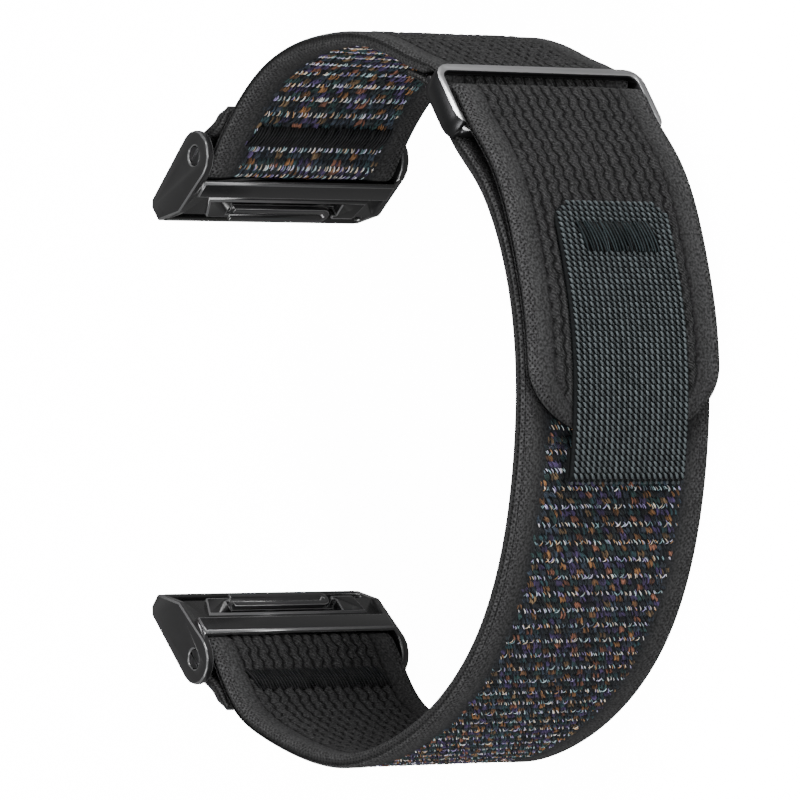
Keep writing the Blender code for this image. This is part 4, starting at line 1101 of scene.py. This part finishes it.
def makeTack(name, node, kind, stations, face, at, lift, body, rng):
    plan, size = tackPlan, tackPlan[kind]
    slant = size["slant"]
    span = size["width"] - size["length"] * abs(math.tan(slant)) - 2 * plan["threadRadius"]
    count = int(span / plan["threadPitch"])
    across = np.linspace(-span / 2, span / 2, count)
    layers = []
    # The lower threads are painted darker and the thin upper threads much paler: painted shade and painted
    # highlights along the satin
    for layer, (paintedLight, thin) in enumerate(((plan["under"], 1.0), (plan["over"], plan["overThin"]))):
        along = np.full(count, at + size["length"] / 2) + rng.normal(0, plan["stray"], count)
        turn = np.full(count, slant) + rng.normal(0, plan["turnStray"], count) * (1 + layer)
        lifts = np.full(count, lift + layer * plan["overLift"])
        shift = layer / 2 * plan["threadPitch"]
        tints = np.array(size["tint"]) * paintedLight * rng.uniform(*plan["shades"], (count, 1))
        guides = surfaceGuides(stations, face, along, across + shift, turn, lifts)
        layers.append((*guides, tints, np.ones((count, 3)) * (1, thin, 1)))
    piece = strandPiece(
        name, [np.concatenate(parts) for parts in zip(*layers)], size["length"] / math.cos(slant),
        plan["threadRadius"], plan["rise"], threadMaterial, plan["sides"], plan["steps"], plan["endShare"],
    )
    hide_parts(node)
    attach(piece, body)


def makeTacks():
    rng = np.random.default_rng(tackPlan["seed"])
    size = tackPlan["adapter"]
    for side, stations in (("upper", upperStations), ("lower", lowerStations)):
        at = stations["ends"][1] + size["inset"]
        makeTack(f"{side}Tack", f"{side}_bartack", "adapter", stations, 1, at, size["lift"], "band", rng)
    size = tackPlan["ring"]
    at = upperStations["ends"][3] + ringPlan["return"] - size["inset"] - size["length"]
    makeTack("ringTack", "ring_bartack", "ring", upperStations, -1, at, size["lift"], "band", rng)


makeTacks()
print("bar-tacks sewn")


# Pull tab in basket weave

tabPlan = {
    "width": 0.0156, "thickness": 0.0009, "start": 0.0100, "stitched": 0.0070, "length": 0.0287,
    "corner": 0.0025, "hem": 0.0029, "hemGap": 0.0002, "gap": 0.0003, "ground": 0.00055,
    "step": 0.0004, "groundColumns": 16, "bendBefore": 0.0010, "bendAfter": 0.0030,
    "columns": 20, "rowPitch": 0.00065, "sideClear": 0.0003, "firstRow": 0.4, "endClear": 0.0002,
    "cornerShare": 0.35, "beadLength": 0.00078, "beadRadius": 0.000180, "beadArch": 0.00020,
    "sides": 5, "steps": 6, "endShare": 0.25,
    "lean": -0.50, "leanStray": 0.06, "tint": (0.0275, 0.0330, 0.0350), "shades": (0.75, 1.25),
    "fillShare": 0.72, "fillShift": 0.42, "fillShade": 0.28, "fillSink": 0.00004, "seed": 7,
}


def makeTab():
    plan = tabPlan
    line = lowerLine
    top = tailStart - plan["start"]
    end = top - plan["length"]
    low = halfPly + plan["gap"]
    high = low + plan["thickness"]
    inner = plan["hemGap"] / 2
    hemAt = float(apartAt(end)) + low - inner
    out = readLine(line, "normals", [end])[0]
    past = readLine(line, "points", [end - loop["fineStep"]])[0] - readLine(line, "points", [end])[0]
    centre = beside(line, np.array([end]), hemAt)[0]
    hemTop = hemAt - inner
    stations = stationsOf([
        ply(line, top, end, shifted(apartAt, low + plan["ground"]), shifted(apartAt, low)),
        fold(centre, inner + plan["ground"], inner, out / np.hypot(*out), past / np.hypot(*past)),
        ply(line, end, end + plan["hem"], hemTop - plan["ground"], hemTop),
    ], plan["step"])
    toTop = np.clip(1 - stations["along"] / plan["corner"], 0, 1)
    halfWidth = plan["width"] / 2 - plan["corner"] * (1 - np.sqrt(1 - toTop**2))
    mesh = stripMesh("tabGround", stations, halfWidth, (plan["groundColumns"], plan["groundColumns"]))[0]
    ground = linkPiece("tabGround", mesh, tabBaseMaterial, None)

    # One bright bead of yarn for each crossing of the weave, and a smaller, sunken one between columns,
    # painted darker as painted shade
    rng = np.random.default_rng(plan["seed"])
    pitch = (plan["width"] - plan["sideClear"]) / plan["columns"]
    rows = []
    full, filling = (0.0, 1.0, 1.0), (plan["fillShift"], plan["fillShade"], plan["fillShare"])
    total = stations["along"][-1]
    for at in np.arange(plan["rowPitch"] * plan["firstRow"], total - plan["endClear"], plan["rowPitch"]):
        wide = np.interp(at, stations["along"], halfWidth)
        for half in range(2 * plan["columns"] - 1):
            shift, paintedShade, size = filling if half % 2 else full
            across = (half - (plan["columns"] - 1)) * pitch / 2
            if abs(across) < wide - pitch * plan["cornerShare"]:
                shade = rng.uniform(*plan["shades"]) * paintedShade
                lean = plan["lean"] + rng.normal(0, plan["leanStray"])
                rows.append((at + shift * plan["rowPitch"], across, lean, shade, size))
    data = np.array(rows)
    lift = plan["fillSink"] * (data[:, 4] - 1) / (1 - plan["fillShare"])
    guides = surfaceGuides(stations, 1, data[:, 0], data[:, 1], data[:, 2], lift)
    tints, scales = np.array(plan["tint"]) * data[:, 3:4], np.repeat(data[:, 4:5], 3, axis=1)
    weave = strandPiece(
        "tabWeave", (*guides, tints, scales), plan["beadLength"], plan["beadRadius"], plan["beadArch"],
        weaveMaterial, plan["sides"], plan["steps"], plan["endShare"],
    )
    bend = top - plan["stitched"]
    for piece in (ground, weave):
        bodyPoint(bend + plan["bendBefore"], shifted(apartAt, high))
        bodyPoint(bend - plan["bendAfter"], shifted(apartAt, high))
        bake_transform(piece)
    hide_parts("tab_stitched_end", "pull_tab")

    tackRng = np.random.default_rng(plan["seed"] + 1)
    size = tackPlan["tab"]
    lift = plan["thickness"] - plan["ground"] + size["lift"]
    makeTack("tabTack", "tab_bartack", "tab", stations, 1, size["inset"], lift, "tail", tackRng)


makeTab()
print("tab woven")


# Hook patch under the tail

hookPlan = {
    "length": 0.0220, "width": 0.0200, "margin": 0.0040, "depth": 0.0004, "sink": 0.00003,
    "step": 0.0008, "columns": 6, "pitch": 0.00080, "firstStem": 0.0006, "lastStem": 0.0004,
    "strandLength": 0.00042, "strandRadius": 0.00006, "arch": 0.00018, "stemSink": 0.00004,
    "sides": 3, "steps": 4, "endShare": 0.8, "seed": 3, "tint": (0.012, 0.012, 0.013),
}


def makeHooks():
    plan = hookPlan
    start = tailEnd + plan["margin"] + plan["length"]
    floor = plyPitch - halfPly
    tapePly = ply(lowerLine, start, start - plan["length"], floor + plan["depth"], floor - plan["sink"])
    stations = stationsOf([tapePly], plan["step"])
    halfWidth = np.full(len(stations["along"]), plan["width"] / 2)
    mesh = stripMesh("hookTape", stations, halfWidth, (plan["columns"], plan["columns"]))[0]
    tape = linkPiece("hookTape", mesh, hookBaseMaterial, "tail")
    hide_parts("hook_patch")
    rng = np.random.default_rng(plan["seed"])
    half = plan["width"] / 2
    lengthwise = np.arange(plan["firstStem"], plan["length"] - plan["lastStem"], plan["pitch"])
    crosswise = np.arange(-half + plan["firstStem"], half - plan["lastStem"], plan["pitch"])
    along, across = np.repeat(lengthwise, len(crosswise)), np.tile(crosswise, len(lengthwise))
    count = len(along)
    turn = rng.choice((0.0, math.pi), count)
    guides = surfaceGuides(stations, -1, along, across, turn, np.full(count, -plan["stemSink"]))
    hooks = strandPiece(
        "hookStems", (*guides, np.tile(plan["tint"], (count, 1)), np.ones((count, 3))), plan["strandLength"],
        plan["strandRadius"], plan["arch"], hookMaterial, plan["sides"], plan["steps"], plan["endShare"],
    )
    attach(hooks, "tail")


makeHooks()
print("hooks set")


# Metal parts keep the solids' shapes, with small rounded edges that catch the light and carry a painted
# highlight

metalPlan = {
    "mergeGap": 0.000004, "flatAngle": math.radians(1.0), "cornerAngle": math.radians(28),
    "housing": {"bevel": 0.00018, "segments": 3, "room": 2.0},
    "latch": {"bevel": 0.00009, "segments": 3, "room": 4.0},
    "ring": {"bevel": 0.00016, "segments": 3, "room": 2.0},
    "pin": {"bevel": 0.00008, "segments": 2, "room": 2.0},
    "rod": {"bevel": 0.00005, "segments": 2, "room": 2.0},
}


def roundedCopy(name, node, kind, material, body):
    edges = metalPlan[kind]
    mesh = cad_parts[node].data.copy()
    shape = bmesh.new()
    shape.from_mesh(mesh)
    bmesh.ops.remove_doubles(shape, verts=shape.verts, dist=metalPlan["mergeGap"])
    bmesh.ops.dissolve_limit(shape, angle_limit=metalPlan["flatAngle"], verts=shape.verts, edges=shape.edges)
    bmesh.ops.triangulate(shape, faces=shape.faces, ngon_method="EAR_CLIP")
    # Only edges with room for it are rounded
    weight = shape.edges.layers.float.new("bevel_weight_edge")
    for edge in shape.edges:
        shortest = min(other.calc_length() for corner in edge.verts for other in corner.link_edges)
        sharp = edge.calc_face_angle(0) > metalPlan["cornerAngle"]
        edge[weight] = float(sharp and shortest > edges["room"] * edges["bevel"])
    shape.to_mesh(mesh)
    shape.free()
    mesh.shade_smooth()
    mesh.materials.clear()
    piece = linkPiece(name, mesh, material)
    mesh.materials.append(material)
    bevel = piece.modifiers.new("edges", "BEVEL")
    bevel.width = edges["bevel"]
    bevel.segments = edges["segments"]
    bevel.limit_method = "WEIGHT"
    bevel.use_clamp_overlap = False
    bevel.harden_normals = True
    bevel.material = 1
    depsgraph = bpy.context.evaluated_depsgraph_get()
    rounded = bpy.data.meshes.new_from_object(piece.evaluated_get(depsgraph))
    piece.modifiers.clear()
    piece.data = rounded
    # The rounded edges, known by their material's place in the list, carry a painted highlight
    paintedHighlight = [float(polygon.material_index == 1) for polygon in rounded.polygons]
    storeFloat(rounded, "paintedEdgeHighlight", paintedHighlight, "FACE")
    rounded.polygons.foreach_set("material_index", [0] * len(paintedHighlight))
    rounded.materials.pop()
    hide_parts(node)
    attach(piece, body)
    return piece


ringLook = {
    "face": (0.33, 0.33, 0.335), "side": (0.022, 0.022, 0.023), "litFaceSpan": (0.75, 0.95), "metallic": 0.9,
    "roughness": 0.34, "leastRough": 0.28, "roughSpread": 0.14, "stretch": (9000.0, 9000.0, 500.0),
    "bump": 0.000004,
}


def makeRingMaterial():
    # A satin light-grey face; the walls facing other ways are painted dark, a painted shade
    look = ringLook
    material, tree, shader = newMaterial("ringMetal", look["roughness"], look["metallic"])
    share = rangeNode(tree, attributeNode(tree, "faceWay"), *look["litFaceSpan"])
    grain = groupNode(tree, brushedGrain, {"Vector": objectPlace(tree), "Stretch": look["stretch"]})["Grain"]
    # Faces turned away from the front take the dark side colour: painted shade
    tree.links.new(mixColour(tree, share, look["side"], look["face"]), shader.inputs["Base Color"])
    rough = plus(tree, times(tree, grain, look["roughSpread"]), look["leastRough"])
    tree.links.new(rough, shader.inputs["Roughness"])
    bumpNormal(tree, shader, grain, look["bump"])
    return material


def makeRing():
    ring = roundedCopy("ringFrame", "ring", "ring", makeRingMaterial(), "ring_body")
    out = Vector((*ringOut, 0))
    storeFloat(ring.data, "faceWay", [polygon.normal.dot(out) for polygon in ring.data.polygons], "FACE")
    roundedCopy("ringPinRod", "ring_pin", "pin", steelMaterial, "ring_body")


def makeSpring(side, word):
    # The spring is a smooth-shaded copy of the solid, on the adapter's body
    node = f"{side}_latch_spring_{word}"
    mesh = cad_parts[node].data.copy()
    mesh.materials.clear()
    mesh.shade_smooth()
    spring = linkPiece(f"{side}Spring_{word}", mesh, steelMaterial, f"{side}_adapter_body")
    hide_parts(node)
    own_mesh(spring)


def makeAdapter(side):
    body = f"{side}_adapter_body"
    roundedCopy(f"{side}Housing", f"{side}_adapter", "housing", adapterMaterial, body)
    roundedCopy(f"{side}Latch", f"{side}_latch", "latch", latchMaterial, f"{side}_latch_body")
    roundedCopy(f"{side}BarRod", f"{side}_strap_bar", "rod", steelMaterial, body)
    for word in ("left", "right"):
        roundedCopy(f"{side}Screw_{word}", f"{side}_bar_screw_{word}", "rod", steelMaterial, body)
        makeSpring(side, word)


makeRing()
makeAdapter("upper")
makeAdapter("lower")
print("metal finished")


# Floor and studio light

stagePlan = {
    "floor": 4.0, "floorRoughness": 0.9, "floorGlow": 14.0, "glowColour": (1.0, 1.0, 1.0),
    "floorColour": (0.90, 0.90, 0.90), "floorShade": 0.98, "floorScale": 3, "floorDetail": 2,
    "world": (1.0, 1.0, 1.0), "worldStrength": 0.34,
}


def makeStage():
    mesh = bpy.data.meshes.new("floor")
    plan = stagePlan
    half = plan["floor"] / 2
    corners = [(-half, -half, 0), (half, -half, 0), (half, half, 0), (-half, half, 0)]
    mesh.from_pydata(corners, [], [(0, 1, 2, 3)])
    material, tree, shader = newMaterial("paleFloor", plan["floorRoughness"])
    shaded = tuple(plan["floorShade"] * value for value in plan["floorColour"])
    patches = noiseNode(tree, objectPlace(tree), plan["floorScale"], plan["floorDetail"])
    tree.links.new(mixColour(tree, patches, plan["floorColour"], shaded), shader.inputs["Base Color"])
    shader.inputs["Emission Color"].default_value = (*plan["glowColour"], 1)
    shader.inputs["Emission Strength"].default_value = plan["floorGlow"]
    floor = linkPiece("floor", mesh, material)
    floor.visible_diffuse = floor.visible_glossy = False  # its glow is for the camera alone
    world = bpy.data.worlds.new("studio")
    world.use_nodes = True
    background = world.node_tree.nodes["Background"]
    background.inputs["Color"].default_value = (*plan["world"], 1)
    background.inputs["Strength"].default_value = plan["worldStrength"]
    scene.world = world


lights = {
    "keySoftbox": {"place": (0.56, -0.38, 0.16), "size": 0.28, "power": 12.5},
    "sideSoftbox": {"place": (0.10, -0.75, 0.25), "size": 0.40, "power": 6.5},
    "topSoftbox": {"place": (0.20, 0.10, 0.80), "size": 0.40, "power": 4.0},
    "lowSoftbox": {"place": (-0.60, -0.30, 0.45), "size": 0.50, "power": 13.0},
}


def makeLights():
    target = Vector(view["target"])
    for name, plan in lights.items():
        data = bpy.data.lights.new(name, "AREA")
        data.energy = plan["power"]
        data.size = plan["size"]
        light = bpy.data.objects.new(name, data)
        light.location = plan["place"]
        light.rotation_euler = (target - Vector(plan["place"])).to_track_quat("-Z", "Y").to_euler()
        scene.collection.objects.link(light)


makeStage()
makeLights()
print("stage lit")
